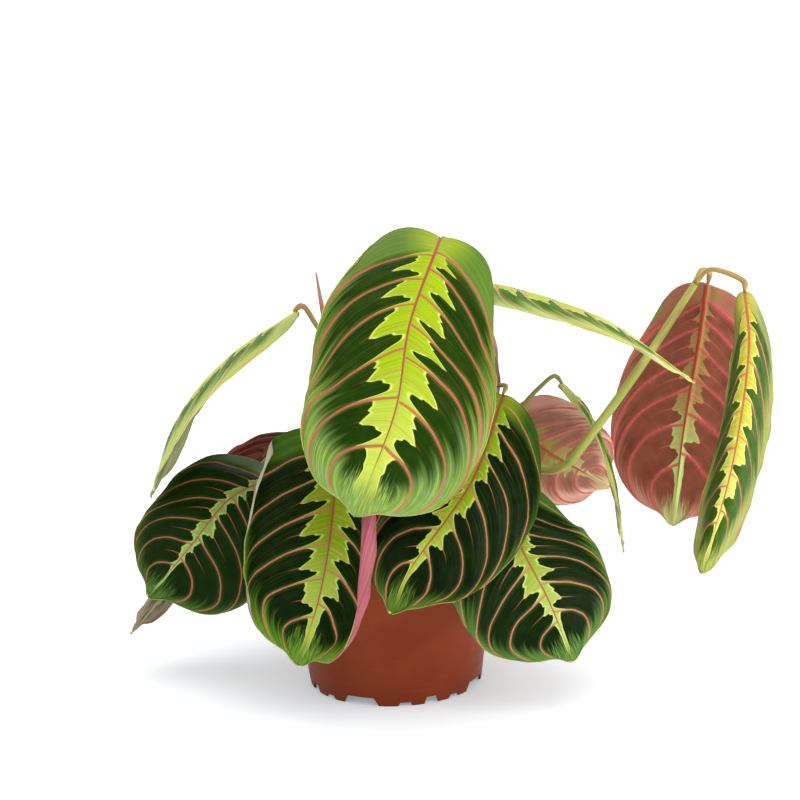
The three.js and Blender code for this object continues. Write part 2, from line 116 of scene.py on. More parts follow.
# rib: points along the midrib, base to tip. faces: where the upper side looks at base and tip.
# bend: left side and right side; fold, arch and roll in degrees, each at base and tip, no roll where
# there are four. blunt and skew shape the outline, lobe draws its base back beside the petiole,
# uneven widens one half and rollFrom is the share of a half at which its roll starts. veins: where
# the side ribs of the left and right half leave the midrib, or ribs: how many there are. tuck: how
# far below the blade the petiole ends. foot: where a stalk stands in the soil. petiole: points on
# its way up. upper and under: finishes of the two sides.
LEAVES = {
    "crown": dict(
        rib=[(28, -28, 229), (12, -69, 197), (4, -98, 163), (-14, -103, 120)],
        faces=[(0.12, -0.5, 0.86), (-0.05, -1, 0.12)], width=90, blunt=2.75, skew=1.26, lobe=8,
        uneven=-0.04, tuck=4.5, veins=[(0.065, 0.145, 0.25, 0.37, 0.49, 0.645, 0.79),
                                     (0.085, 0.185, 0.29, 0.46, 0.635, 0.79)],
        bend=[(12, 9, 27, 16), (1, -2, 20, 27)],
        foot=(6, 2), petiole=[(8, 4, 130), (14, 7, 180), (21, 4, 213)],
        upper="crown"),
    "left_front": dict(
        rib=[(-24, -30, 138), (-27, -62, 104), (-34, -72, 69), (-44, -74, 39)],
        faces=[(0, -0.9, 0.6), (0.1, -1, 0.2)], width=88, rollFrom=0.7,
        bend=[(-44, -34, -45, -30, -100, -90), (0, 0, 0, 0, -120, -90)],
        foot=(-8, -8), petiole=[(-11, -10, 118), (-17, -12, 140)],
        upper="mature", under="rose"),
    "right_front": dict(
        rib=[(56, -22, 150), (39, -62, 119), (10, -83, 85), (1, -88, 68)],
        faces=[(-0.05, -0.8, 0.7), (0.1, -1, 0.2)], width=68, lobe=4, blunt=2.2, skew=0.92,
        uneven=-0.11,
        bend=[(32, -6, 29, 7), (9, -7, 22, 24)],
        foot=(18, -6), petiole=[(26, -4, 118), (44, 0, 144)],
        upper="shaded_narrow_band"),
    "low_right": dict(
        rib=[(52, -36, 112), (60, -59, 88), (73, -69, 62), (83, -70, 35)],
        faces=[(0.2, -0.6, 0.8), (0.1, -0.9, 0.4)], width=79, uneven=0.05, blunt=2.4, skew=1.16, lobe=1,
        bend=[(10, 6, 19, 11), (-7, 8, 2, 12)],
        foot=(12, -18), petiole=[(19, -19, 106), (37, -24, 117)],
        upper="shaded"),
    "low_left": dict(
        rib=[(-53, -11, 110), (-77, -23, 103), (-97, -32, 82), (-115, -37, 62)],
        faces=[(-0.3, -0.3, 0.9), (-0.3, -0.9, 0.5)], width=81, lobe=2, blunt=2.48, skew=0.85,
        uneven=-0.08,
        bend=[(-5, 13, -2, 18), (-5, 2, 9, 12)],
        foot=(-18, -2), petiole=[(-23, -2, 110), (-38, -3, 121)],
        upper="shaded_dim"),
    "lowest_left": dict(
        rib=[(-80, 24, 81), (-98, 26, 60), (-117, 24, 39), (-131, 20, 24)],
        faces=[(-0.6, 0.2, 0.75), (-0.6, 0.2, 0.75)], width=38,
        bend=[(-20, -20, 10, 10), (20, 20, 10, 10)],
        foot=(-20, 12), petiole=[(-28, 14, 108), (-44, 18, 118), (-62, 22, 108)],
        upper="folded", under="folded"),
    "high_left": dict(
        rib=[(-44, 0, 189), (-77, -4, 168), (-102, -6, 140), (-116, -6, 104)],
        faces=[(-0.5, 0.1, 0.8), (-0.75, 0.1, 0.6)], width=68, lobe=6, blunt=2.27, skew=1.1,
        bend=[(8, 2, 9, 14, 20, 0), (14, 9, 13, 9, -70, 0)],
        upper="young", under="pale"),
    "high_right": dict(
        rib=[(44, -12, 205), (79, -26, 197), (110, -36, 185), (142, -42, 161)],
        faces=[(0.2, 0.1, 0.97), (0.5, 0.04, 0.87)], width=51, lobe=3, blunt=2.47, skew=0.88,
        bend=[(4, 10, 10, 5), (17, -2, 20, -3)],
        foot=(14, 6), petiole=[(18, 7, 130), (24, 6, 175), (31, 0, 198)],
        upper="young", under="pale"),
    "far_right_back": dict(
        rib=[(160, 22, 192), (157, 31, 161), (149, 32, 114), (143, 27, 71)],
        faces=[(0.65, 0.7, 0.3), (0.3, 0.95, 0)], width=76, lobe=1, blunt=2.15, skew=1.45,
        veins=[(0.10, 0.21, 0.34, 0.47, 0.62, 0.78), (0.07, 0.17, 0.29, 0.42, 0.56, 0.74)],
        bend=[(8, -6, 16, 6), (-45, 2, 0, 13)],
        upper="crown", under="maroon"),
    "far_right_front": dict(
        rib=[(174, -8, 194), (173, -30, 168), (164, -42, 118), (150, -46, 69)],
        faces=[(0, -0.95, 0.3), (-0.05, -0.95, 0.1)], width=69, lobe=1, blunt=2.23, skew=1.13, ribs=7,
        bend=[(60, 56, 9, 12), (83, 73, 14, 18)],
        upper="bright", under="rose"),
    "behind_right": dict(
        rib=[(60, 25, 128), (77, 33, 108), (93, 38, 96), (108, 41, 86)],
        faces=[(-0.2, 1, 0.05), (-0.2, 1, 0.05)], width=59, blunt=2.31, skew=0.94, lobe=2,
        bend=[(-36, -14, 5, 0), (7, 15, 18, 19)],
        foot=(22, 12), petiole=[(30, 14, 108), (46, 17, 120)],
        upper="mature", under="backlit_tan"),
    "mid_right": dict(
        rib=[(86, 4, 148), (100, 4, 131), (111, 2, 102), (115, 1, 66)],
        faces=[(0.9, -0.05, 0.36), (0.95, 0, 0.25)], width=32,
        bend=[(0, 0, 14, 14)] * 2,
        foot=(26, 2), petiole=[(38, 2, 112), (58, 4, 128), (74, 5, 145)],
        upper="young", under="pale"),
    "right_behind_crown": dict(
        rib=[(33, 10, 190), (40, 16, 172), (43, 20, 148), (41, 22, 128)],
        faces=[(0.5, 0.85, 0.3), (0.3, 0.95, 0.1)], width=31,
        bend=[(0, 0, 10, 10)] * 2,
        foot=(4, 12), petiole=[(7, 12, 130), (16, 10, 170)],
        upper="mature", under="blush"),
    "left_under": dict(
        rib=[(-30, 27, 117), (-56, 46, 111), (-84, 60, 89), (-103, 64, 69)],
        faces=[(-0.2, 0.75, 0.6), (-0.4, 0.8, 0.4)], width=30,
        bend=[(0, 0, 10, 10)] * 2,
        foot=(-12, 20), petiole=[(-15, 20, 106)],
        upper="mature", under="shaded_maroon"),
    "back_top": dict(
        rib=[(4, 26, 178), (3, 58, 172), (0, 86, 142), (-4, 98, 98)],
        faces=[(0, 0.5, 0.85), (0, 1, 0.15)], width=72,
        bend=[(6, 6, 20, 20)] * 2,
        foot=(-4, 14), petiole=[(-4, 14, 130), (0, 13, 165)],
        upper="mature"),
    "back_left": dict(
        rib=[(-8, 36, 132), (-24, 64, 122), (-38, 84, 96), (-46, 92, 62)],
        faces=[(-0.4, 0.5, 0.8), (-0.5, 0.85, 0.3)], width=60,
        bend=[(6, 6, 16, 16)] * 2,
        foot=(-6, 24), petiole=[(-6, 25, 112), (-6, 30, 126)],
        upper="shaded"),
    "back_right": dict(
        rib=[(28, 34, 134), (46, 58, 124), (62, 80, 98), (70, 88, 66)],
        faces=[(0.3, 0.5, 0.8), (0.4, 0.9, 0.2)], width=64,
        bend=[(6, 6, 16, 16)] * 2,
        foot=(14, 20), petiole=[(16, 22, 112), (20, 25, 128)],
        upper="shaded"),
    "back_low": dict(
        rib=[(8, 42, 120), (14, 72, 110), (18, 92, 82), (20, 99, 50)],
        faces=[(0, 0.5, 0.85), (0, 1, 0.3)], width=60,
        bend=[(6, 6, 14, 14)] * 2,
        foot=(4, 28), petiole=[(5, 29, 108)],
        upper="shaded"),
}

# path: points on a stem's way. node: share of its length at which its node is
STEMS = {
    "right": dict(
        foot=(34, 8),
        path=[(45, 6, 110), (62, 1, 112), (77, -6, 107), (86, -12, 111), (98, -17, 127),
              (123, -9, 158), (151, 2, 196)],
        radii=[3, 2.8, 2.6, 2.4, 2.5, 2.9, 2.8, 2.5, 2.2], node=0.44),
    "left": dict(
        foot=(-9, 6), path=[(-16, 6, 136), (-26, 4, 168)], radii=[3, 2.8, 2.6, 2.4], node=0.7),
}
# petioles that grow out of a stem's end, and the rolled new leaf beside the left one
SHOOTS = {
    "far_right_back": [(150.7, 3.3, 196.3), (152.2, 4.2, 198.4), (155, 10, 201)],
    "far_right_front": [(151.8, 0.9, 196.3), (153.4, 1.4, 198.4), (158, -1, 203.5)],
    "high_left": [(-26.1, 2.7, 168.4), (-27, 2.6, 171.4), (-33, 2, 181)],
}
ROLLED_LEAF = dict(
    path=[(-26.1, 5.3, 168.4), (-27, 5.2, 171.4), (-30, 5, 188), (-32.5, 5, 207)],
    radii=[1, 1.2, 1.3, 1, 0.4])


def linear(value):
    """Linear RGBA of an sRGB hex colour."""
    channels = [(value >> shift & 255) / 255 for shift in (16, 8, 0)]
    return tuple(c / 12.92 if c <= 0.04045 else ((c + 0.055) / 1.055) ** 2.4 for c in channels) + (1,)


# Kinds of node under the names they have below, with their settings. places are the inputs that the
# values go to in turn, and out is the output that is used.
KINDS = {
    "ramp": {"kind": "ShaderNodeMapRange"},
    "soft": {"kind": "ShaderNodeMapRange", "interpolation_type": "SMOOTHSTEP"},
    "curve": {"kind": "ShaderNodeFloatCurve"},
    "noise": {"kind": "ShaderNodeTexNoise", "places": ("Vector", "Scale", "Detail")},
    "cells": {"kind": "ShaderNodeTexVoronoi", "places": ("Vector", "Scale")},
    "stretch": {"kind": "ShaderNodeVectorMath", "operation": "MULTIPLY"},
    "split": {"kind": "ShaderNodeSeparateXYZ"},
    "join": {"kind": "ShaderNodeCombineXYZ"},
    "map": {"kind": "ShaderNodeUVMap"},
    "own": {"kind": "ShaderNodeTexCoord", "out": 3},
    "mix": {"kind": "ShaderNodeMix", "data_type": "RGBA", "out": 2, "places": (0, 6, 7)},
    "bump": {"kind": "ShaderNodeBump", "places": ("Strength", "Distance", "Height")},
    "surface": {"kind": "ShaderNodeBsdfPrincipled"},
    "end": {"kind": "ShaderNodeOutputMaterial"},
}
for word, operation in (("times", "MULTIPLY"), ("plus", "ADD"), ("minus", "SUBTRACT"),
                        ("larger", "MAXIMUM"), ("size", "ABSOLUTE"), ("rest", "FRACT")):
    KINDS[word] = {"kind": "ShaderNodeMath", "operation": operation}


def add_node(tree, name, *values, named=None, **settings):
    """Adds a node with its settings and links, and returns one of its outputs."""
    settings = {"out": 0, "places": range(len(values)), **KINDS[name], **settings}
    made = tree.nodes.new(settings.pop("kind"))
    out, places = settings.pop("out"), settings.pop("places")
    for key, value in settings.items():
        setattr(made, key, value)
    for place, value in [*zip(places, values), *(named or {}).items()]:
        if isinstance(value, bpy.types.NodeSocket):
            tree.links.new(value, made.inputs[place])
        else:
            made.inputs[place].default_value = value
    return made.outputs[out] if made.outputs else made


def new_material(name):
    """Empty node material, and the function that adds nodes to it."""
    material = bpy.data.materials.new(name)
    material.use_nodes = True
    material.node_tree.nodes.clear()
    return material, partial(add_node, material.node_tree)


# Each finish: lime band, its shaded part, band edge, two dark greens, outer zone, its light streaks,
# side ribs, midrib; then how wide the band is, where the dark blocks end, how strong the streaks
# are, how glossy the outer zone is and half the width of a side rib in millimetres.
FINISHES = {
    "crown": (0xAAC01C, 0x7C9C0C, 0xDCE070, 0x1E3A00, 0x122A00, 0x5A7E1A, 0xAABA48, 0xBE6050, 0x9E5442,
              0.88, 0.74, 0.8, 0.36, 0.92),
    "mature": (0x98AE20, 0x6E8C0C, 0xCAD86C, 0x0E2600, 0x031200, 0x42700F, 0x92AC3C, 0xD08468, 0xA45A44,
               0.72, 0.80, 0.8, 0.14, 0.62),
    # partly painted shade: the mature pattern with a narrower band, and greens painted darker for a
    # leaf in the crown's shadow
    "shaded_narrow_band": (0x90A818, 0x68860A, 0xBCC85C, 0x0A2000, 0x010C00, 0x2C4E0A, 0x769230, 0xC67A60, 0x984E3A,
             0.50, 0.84, 0.6, 0.12, 0.60),
    "shaded": (0x94AA34, 0x728E2A, 0xC4D27C, 0x0E2402, 0x061400, 0x3E681C, 0x7C9A46, 0xCC8062, 0x985440,
               0.50, 0.76, 0.7, 0.18, 0.58),
    # painted shade: a variant of the shaded finish, with a narrower band, for a leaf that lies in shade
    "shaded_dim": (0x84A246, 0x6A8A38, 0xA6C070, 0x122A02, 0x0A1C00, 0x30540E, 0x607E30, 0xB4604E, 0x985040,
            0.30, 0.82, 0.5, 0.18, 0.55),
    "young": (0xBCC84C, 0xA0B238, 0xEAD890, 0x4A7226, 0x3A6018, 0xA4B44C, 0xD6D890, 0xD08A64, 0xC08C58,
              0.95, 0.52, 1.0, 0.2, 0.6),
    "bright": (0xC8C446, 0x9EA02C, 0xEEE48A, 0x3A5A12, 0x284608, 0x7C9034, 0xB4AC60, 0xCC7060, 0xB46448,
               0.50, 0.56, 0.9, 0.2, 0.6),
    "folded": (0x92A050, 0x7E8C46, 0xCCAC94, 0x5A6840, 0x4A5834, 0x7E7C58, 0xAA9E84, 0xB87468, 0xA87060,
               1.2, 0.50, 0.9, 0.15, 0.4),
    "maroon": (0xAE8E54, 0x927040, 0xB6D07C, 0x90503C, 0x72402E, 0xA86A54, 0xC89484, 0xEA5C66, 0x9C402E,
               0.48, 0.74, 0.9, 0.12, 0.9),
    # painted shade: the maroon underside painted darker and browner for a leaf that lies in shade
    "shaded_maroon": (0x7A5428, 0x644020, 0x967240, 0x5E2C1A, 0x4A1E10, 0x7E4028, 0x9C6040, 0xA4503C, 0x7E4028,
               0.5, 0.70, 0.8, 0.10, 0.5),
    "rose": (0x9C5C62, 0x884C58, 0xB47C80, 0x823E48, 0x723442, 0x985058, 0xAC686E, 0x9C424A, 0x884044,
             0.5, 0.45, 1.0, 0.1, 0.4),
    # partly painted light: a pinkish-tan underside painted paler, as if lit through from behind
    "backlit_tan": (0xA8984C, 0x8C8640, 0xC8BE80, 0xB47A64, 0x946450, 0xE6AE98, 0xFCE0C4, 0xEA7A6C, 0xA85A44,
            0.75, 0.58, 0.45, 0.12, 0.8),
    "pale": (0xB0BE70, 0x98AA5C, 0xD8DEA6, 0x98A868, 0x869858, 0xB8C47C, 0xD4DCA4, 0xC88A6C, 0xBA9468,
             1.0, 0.6, 0.8, 0.15, 0.4),
    "blush": (0xD0B0A0, 0xC09C90, 0xE0C8B8, 0xC89088, 0xB87C78, 0xD8A8A0, 0xE8C4BC, 0xC46C64, 0xB07060,
              0.8, 0.5, 0.8, 0.15, 0.4),
}


def leaf_skin(name, finish, underside, seed):
    """Leaf surface with a jagged band at the midrib, dark blocks and coloured side ribs.

    The living leaf has a satin waxy skin over closely set parallel veins, so it shows soft broad
    highlights, crisp colour edges and fine streaks that run along the side ribs. Where the crown
    finish is on the upper side, part of that sheen is painted into the colour.
    """
    lime, shady, edge, dark, darker, outer, streak, vein, midrib = map(linear, FINISHES[finish][:9])
    wide, reach, streaks, gloss, bold = FINISHES[finish][9:]
    # the pattern ends sooner before the tip by this share, and the dark blocks get shorter towards it
    plain_tip = {"crown": 0.03, "mature": 0.02, "shaded_narrow_band": 0.02}.get(finish, 0.0)
    shorter = {"crown": 0.24, "mature": 0.10}.get(finish, 0.0)
    # the band takes on this much of its edge's colour towards the tip
    to_edge = 0.95 if finish in ("maroon", "backlit_tan") else 0.4
    outlined = (0.45, 0.70) if to_edge > 0.9 else (0.06, 0.12)
    material, add = new_material(name)

    # maps: share across a half and count of the side ribs, share along and which half, millimetres
    # between side ribs, and the flat place in units of 100 mm
    ribs, zone, spacing = (add("split", add("map", uv_map=key)).node.outputs
                           for key in ("ribs", "zone", "size"))
    q, phase, s, hand, apart = ribs[0], ribs[1], zone[0], zone[1], spacing[0]
    real = add("map", uv_map="real")
    across = add("size", add("minus", add("split", real), 0.5))
    place = add("join", phase, q, add("plus", hand, seed))

    # grains between two side ribs and along one: slow waves, lobes, streaks, fine parallel veins
    grains = {}
    for key, between, length, detail in (("sway", 1.3, 2.2, 1.0), ("lobes", 2.3, 3.6, 0.0),
                                         ("streaks", 20.0, 0.9, 3.0), ("fine", 48.0, 1.6, 2.0),
                                         ("ends", 6.0, 1.2, 2.0)):
        grains[key] = add("noise", add("stretch", place, (between, length, 3.0)), 1.0, detail)
    mottle = add("noise", real, 60.0, 4.0)
    cloud = add("noise", real, 14.0, 2.0)

    # side ribs: where the phase is whole; they thin out and fade towards the margin
    sway = add("times", add("ramp", grains["sway"], 0.3, 0.7, -1.0, 1.0),
               add("ramp", s, 0.55, 0.85, 0.07, 0.02))
    past = add("rest", add("plus", phase, sway))
    from_middle = add("size", add("minus", past, 0.5))
    from_rib = add("times", add("minus", 0.5, from_middle), apart)
    rib_half = add("ramp", q, 0.0, 0.9, bold, bold * 0.72)
    lasting = add("times", add("soft", q, 0.90, 0.99, 1.0, 0.0), add("soft", s, 0.86, 0.92, 1.0, 0.0))
    rib = add("times", add("soft", from_rib, add("times", rib_half, 0.55), rib_half, 1.0, 0.0), lasting)
    beside_rib = add("soft", from_rib, rib_half, 2.2, 1.0, 0.0)
    thin_rib = add("times", add("soft", add("times", from_middle, apart), 0.14, 0.30, 1.0, 0.0),
                   add("soft", q, 0.08, 0.36, 1.0, 0.0))
    thin_rib = add("times", thin_rib, lasting)

    # jagged band between two side ribs: lobe at the thin rib, notch after it, then a thin tongue
    # that runs out along the next rib
    profile = add("curve", 1.0, past)
    curve = profile.node.mapping.curves[0]
    first, *between, last = [
        (0, 0.22), (0.05, 0.185), (0.14, 0.176), (0.24, 0.216), (0.30, 0.190), (0.42, 0.250),
        (0.53, 0.305), (0.58, 0.265), (0.61, 0.160), (0.67, 0.138), (0.74, 0.068), (0.82, 0.076),
        (0.88, 0.128), (0.93, 0.215), (0.965, 0.33), (1, 0.44)]
    curve.points[0].location, curve.points[1].location = first, last
    for x, y in between:
        curve.points.new(x, y)
    for point in curve.points:
        # the lobes have sharp corners and the notches round ones
        point.handle_type = "AUTO_CLAMPED" if 0.60 < point.location[0] < 0.95 else "VECTOR"
    profile.node.mapping.update()
    jag = add("ramp", grains["lobes"], 0.3, 0.7, -0.028, 0.028)
    taper = add("times", add("soft", s, 0.25, 0.80, wide, wide * 0.95),
                add("soft", s, 0.80, 0.92, 1.0, 0.85 if finish == "crown" else 0.45))
    inside = add("minus", add("times", profile, taper), add("plus", q, jag))
    band = add("times", add("soft", inside, -0.006, 0.008),
               add("soft", s, 0.90 - plain_tip, 1.0 - plain_tip, 1.0, 0.0))
    rim = add("times", add("soft", inside, 0.004, 0.030, 1.0, 0.0), band)
    rim = add("times", rim, add("soft", s, *outlined))

    # the dark blocks end in streaks; base and tip have none
    shift = add("times", add("ramp", grains["ends"], 0.25, 0.75, -1.0, 1.0),
                add("ramp", s, 0.70, 0.95, 0.14, 0.04))
    reached = add("plus", add("plus", q, shift), add("ramp", s, 0.15, 0.80, 0.0, shorter))
    outer_zone = add("soft", reached, reach - 0.18, reach + 0.20)
    # the parallel veins run together towards the tip
    tip_grain = add("noise", add("stretch", real, (170.0, 12.0, 1.0)), 1.0, 2.0)
    ragged_tip = add("plus", s, add("ramp", tip_grain, 0.3, 0.7, -0.04, 0.04))
    for zone_end in (add("soft", s, 0.05, 0.10, 0.72, 0.0),
                     add("soft", ragged_tip, 0.88 - plain_tip, 0.98 - plain_tip)):
        outer_zone = add("larger", outer_zone, zone_end)
    streak_shown = add("soft", grains["streaks"], 0.47, 0.60, 0.0, streaks)
    for share in (add("ramp", grains["fine"], 0.38, 0.62, 0.25, 1.0),
                  add("soft", s, 0.84, 0.92, 1.0, 0.0), add("soft", s, 0.04, 0.22, 0.35, 1.0)):
        streak_shown = add("times", streak_shown, share)
    tip_streaks = add("times", add("soft", tip_grain, 0.42, 0.70, 0.0, 0.7),
                      add("soft", s, 0.84, 0.92, 0.0, streaks))
    streak_shown = add("plus", streak_shown, tip_streaks)

    dark_colour = add("mix", add("ramp", cloud, 0.2, 0.8), dark, darker)
    fine_lines = add("times", add("soft", grains["fine"], 0.50, 0.72),
                     add("ramp", s, 0.45, 0.80, 0.09, 0.0))
    dark_colour = add("mix", fine_lines, dark_colour, streak)
    outer_colour = add("mix", streak_shown, outer, streak)
    tip_share = add("soft", s, 0.80, 0.97, 0.0, to_edge ** 3 * 0.8)
    outer_colour = add("mix", tip_share, outer_colour, edge)
    if finish == "rose":
        # the part of the fold that is nearer to the base is still grey-green
        greyed = add("times", add("soft", s, 0.36, 0.50, 0.9, 0.0), hand)
        dark_colour, outer_colour = (add("mix", greyed, below, linear(0xA4AC8C))
                                     for below in (dark_colour, outer_colour))
    if finish == "crown" and not underside:
        # painted sheen: greyish clouds over its lower part stand in for the glare of a soft light on
        # the wax
        painted_sheen = add("times", add("soft", cloud, 0.30, 0.70, 0.0, 0.22), add("soft", s, 0.25, 0.70))
        outer_colour = add("mix", painted_sheen, outer_colour, linear(0x86A07C))
    lime_colour = add("mix", add("ramp", grains["streaks"], 0.3, 0.7, 0.05, 0.95), lime, shady)
    lime_colour = add("mix", add("ramp", s, 0.5, 0.8, 0.0, to_edge), lime_colour, edge)
    lit_base = add("times", add("soft", s, 0.04, 0.11, 1.0, 0.0), add("soft", q, 0.03, 0.40, 0.75, 0.0))
    # the midrib is 1.9 mm wide at the base and 0.6 mm near the tip
    mid_half = add("ramp", s, 0.0, 0.95, 0.0095, 0.0030)
    midrib_shown = add("times", add("soft", across, add("times", mid_half, 0.6), mid_half, 1.0, 0.0),
                       add("soft", s, 0.78, 0.95, 1.0, 0.15))
    colour = add("mix", outer_zone, dark_colour, outer_colour)
    for share, top in (
        (add("times", beside_rib, 0.09), streak),
        (add("times", band, add("soft", s, 0.03, 0.08)), lime_colour),
        (lit_base, lime_colour),
        (add("times", rim, 0.75), edge),
        (add("times", thin_rib, 0.6), vein),
        (add("times", rib, 0.92), add("mix", mottle, vein, midrib)),
        (add("ramp", q, 0.975, 1.0, 0.0, 0.4), edge),
        (midrib_shown, midrib),
    ):
        colour = add("mix", share, colour, top)

    # parallel veins about 0.5 mm apart, raised a few hundredths of a millimetre
    height = add("plus", add("plus", grains["fine"], mottle),
                 add("times", rib, 1.2 if underside else -1.0))
    add("end", add("surface", named={
        "Base Color": colour,
        "Roughness": add("ramp", mottle, 0.3, 0.7, 0.36, 0.48),
        "IOR": 1.45,
        "Specular IOR Level": add("ramp", outer_zone, 0.0, 1.0, 0.05, gloss),
        "Normal": add("bump", 0.35, 0.00025, height),
    }))
    return material


def stalk_skin(name, low, high, blush, rough):
    """Fleshy stalk: satin skin with fine lengthwise ribs and a blush in patches."""
    material, add = new_material(name)
    # turns around and centimetres along; the lengthwise ribs are 0.5 to 1 mm apart
    around = add("map", uv_map="stalk")
    ribs = add("noise", add("stretch", around, (14.0, 0.35, 1.0)), 1.0, 2.0)
    patches = add("noise", add("stretch", around, (3.0, 0.28, 1.0)), 1.0, 3.0)
    rise = add("split", add("map", uv_map="rise"), out=1)
    base = add("mix", rise, linear(low), linear(high))
    base = add("mix", add("ramp", patches, 0.46, 0.62, 0.0, 0.7), base, linear(blush))
    base = add("mix", add("ramp", ribs, 0.35, 0.7, 0.0, 0.5), base, linear(low))
    add("end", add("surface", named={
        "Base Color": base, "Roughness": rough, "IOR": 1.42, "Sheen Weight": 0.05,
        "Normal": add("bump", 0.4, 0.0002, ribs)}))
    return material


def pot_plastic(name):
    """Injection-moulded polypropylene in terracotta brown: satin, faintly scuffed, with painted shade
    making it darker low down.
    """
    material, add = new_material(name)
    own = add("own")
    # flow marks about 20 mm across
    cloud = add("noise", own, 45.0, 4.0)
    # handling scuffs, 25 mm long round the pot and 1 mm high
    scuffs = add("noise", add("stretch", own, (40.0, 40.0, 900.0)), 1.0, 3.0)
    # mould texture of 0.45 mm grains, drawn a little coarser than real so that it shows
    grains = add("noise", own, 2200.0, 2.0)
    colour = add("mix", add("ramp", cloud, 0.35, 0.65, 0.0, 1.0),
                 (*bpy.context.scene.plant_pot.colour, 1), linear(0x94401C))
    # painted shade: the plastic turns darker towards the foot
    painted_shade_low = add("ramp", add("split", own, out=2), 0.0, 0.09, 0.75, 0.0)
    colour = add("mix", painted_shade_low, colour, linear(0x541800))
    colour = add("mix", add("ramp", scuffs, 0.62, 0.75, 0.0, 0.05), colour, linear(0xC08A78))
    add("end", add("surface", named={
        "Base Color": colour, "Roughness": add("ramp", scuffs, 0.3, 0.7, 0.36, 0.5), "IOR": 1.49,
        "Specular IOR Level": 0.12, "Normal": add("bump", 0.12, 0.0002, add("plus", grains, scuffs))}))
    return material


def soil_matter(name, first, second, third, scale):
    """Moist peat and bark: dark, dull and crumbly, with lighter fibres."""
    material, add = new_material(name)
    own = add("own")
    crumbs = add("noise", own, scale, 6.0)
    cells = add("cells", own, scale * 1.6)
    colour = add("mix", add("ramp", crumbs, 0.35, 0.65, 0.0, 1.0), linear(first), linear(second))
    colour = add("mix", add("ramp", cells, 0.1, 0.5, 0.35, 0.0), colour, linear(third))
    add("end", add("surface", named={
        "Base Color": colour, "Roughness": 0.92, "IOR": 1.4, "Specular IOR Level": 0.25,
        "Normal": add("bump", 0.9, 0.0012, crumbs)}))
    return material


def studio_floor(name):
    """White acrylic table with a faint painted glow, bluish so that shadows on it stay pale and
    neutral.
    """
    material, add = new_material(name)
    cloud = add("noise", add("own"), 3.0, 2.0)
    # painted glow: a faint bluish emission that lifts and cools the shadows on the floor
    add("end", add("surface", named={
        "Base Color": add("mix", cloud, linear(0xFAFBFC), linear(0xF8F9FB)), "Roughness": 0.7,
        "Specular IOR Level": 0.2, "Emission Color": linear(0xD6F2FA), "Emission Strength": 0.30}))
    return material


def smooth(low, high, value):
    """Rises softly from 0 at low to 1 at high, or falls where high is the smaller."""
    share = np.clip((value - low) / (high - low), 0, 1)
    return share * share * (3 - 2 * share)


def unit(vectors):
    """Each vector at length 1."""
    return vectors / np.linalg.norm(vectors, axis=-1, keepdims=True)


def inner_radius(z):
    """Radius of the pot's inside at this height."""
    return FOOT_RADIUS - POT_WALL + POT_SLOPE * z


def write_mesh(bm, mesh):
    """Writes the edited faces to a mesh and lets go of them."""
    bm.to_mesh(mesh)
    bm.free()
    return mesh


def add_object(name, data):
    """Puts an object with this mesh, lamp or camera in the scene."""
    made = bpy.data.objects.new(name, data)
    bpy.context.scene.collection.objects.link(made)
    return made


class SmoothPath:
    """Curve through points, read by its share of the length; centripetal for stalks."""

    def __init__(self, points, centripetal=False, samples=600):
        pts = np.array(points, float)
        pts = np.vstack([2 * pts[0] - pts[1], pts, 2 * pts[-1] - pts[-2]])
        spans = len(pts) - 3
        where = np.linspace(0, spans, samples + 1)
        index = np.minimum(where.astype(int), spans - 1)
        w = (where - index)[:, None]
        a, b, c, d = (pts[index + k] for k in range(4))
        if centripetal:
            ab, bc, cd = (np.linalg.norm(y - x, axis=1, keepdims=True) ** 0.5
                          for x, y in ((a, b), (b, c), (c, d)))
            start = ((b - a) / ab - (c - a) / (ab + bc) + (c - b) / bc) * bc
            end = ((c - b) / bc - (d - b) / (bc + cd) + (d - c) / cd) * bc
        else:
            start, end = (c - a) / 2, (d - b) / 2
        self.points = (b + start * w + (3 * (c - b) - 2 * start - end) * w ** 2
                       + (2 * (b - c) + start + end) * w ** 3)
        run = np.linalg.norm(np.diff(self.points, axis=0), axis=1)
        self.at = np.concatenate([[0], np.cumsum(run)])
        self.length = self.at[-1]

    def point(self, share):
        """Points at these shares of the length."""
        place = np.clip(share, 0, 1) * self.length
        return np.stack([np.interp(place, self.at, self.points[:, k]) for k in range(3)], -1)

    def tangent(self, share):
        """Directions at these shares of the length."""
        reach = 0.004
        ahead = np.clip(share + reach, 0, 1)
        behind = np.clip(share - reach, 0, 1)
        return unit(self.point(ahead) - self.point(behind))


def sheet_mesh(name, columns, rows, place):
    """Grid whose vertices move to place(u, v), u and v from 0 to 1; it also gives the UV maps."""
    bm = bmesh.new()
    bmesh.ops.create_grid(bm, x_segments=columns, y_segments=rows, size=0.5)
    mesh = write_mesh(bm, bpy.data.meshes.new(name))
    flat = np.empty(len(mesh.vertices) * 3, np.float32)
    mesh.vertices.foreach_get("co", flat)
    flat = flat.reshape(-1, 3).astype(float) + 0.5
    points, maps, weights = place(np.clip(flat[:, 0], 0, 1), np.clip(flat[:, 1], 0, 1))
    mesh.vertices.foreach_set("co", (points * MM).astype(np.float32).ravel())
    corner = np.empty(len(mesh.loops), np.int32)
    mesh.loops.foreach_get("vertex_index", corner)
    for key, values in maps.items():
        layer = mesh.uv_layers.new(name=key)
        layer.data.foreach_set("uv", values[corner].astype(np.float32).ravel())
    return mesh, weights


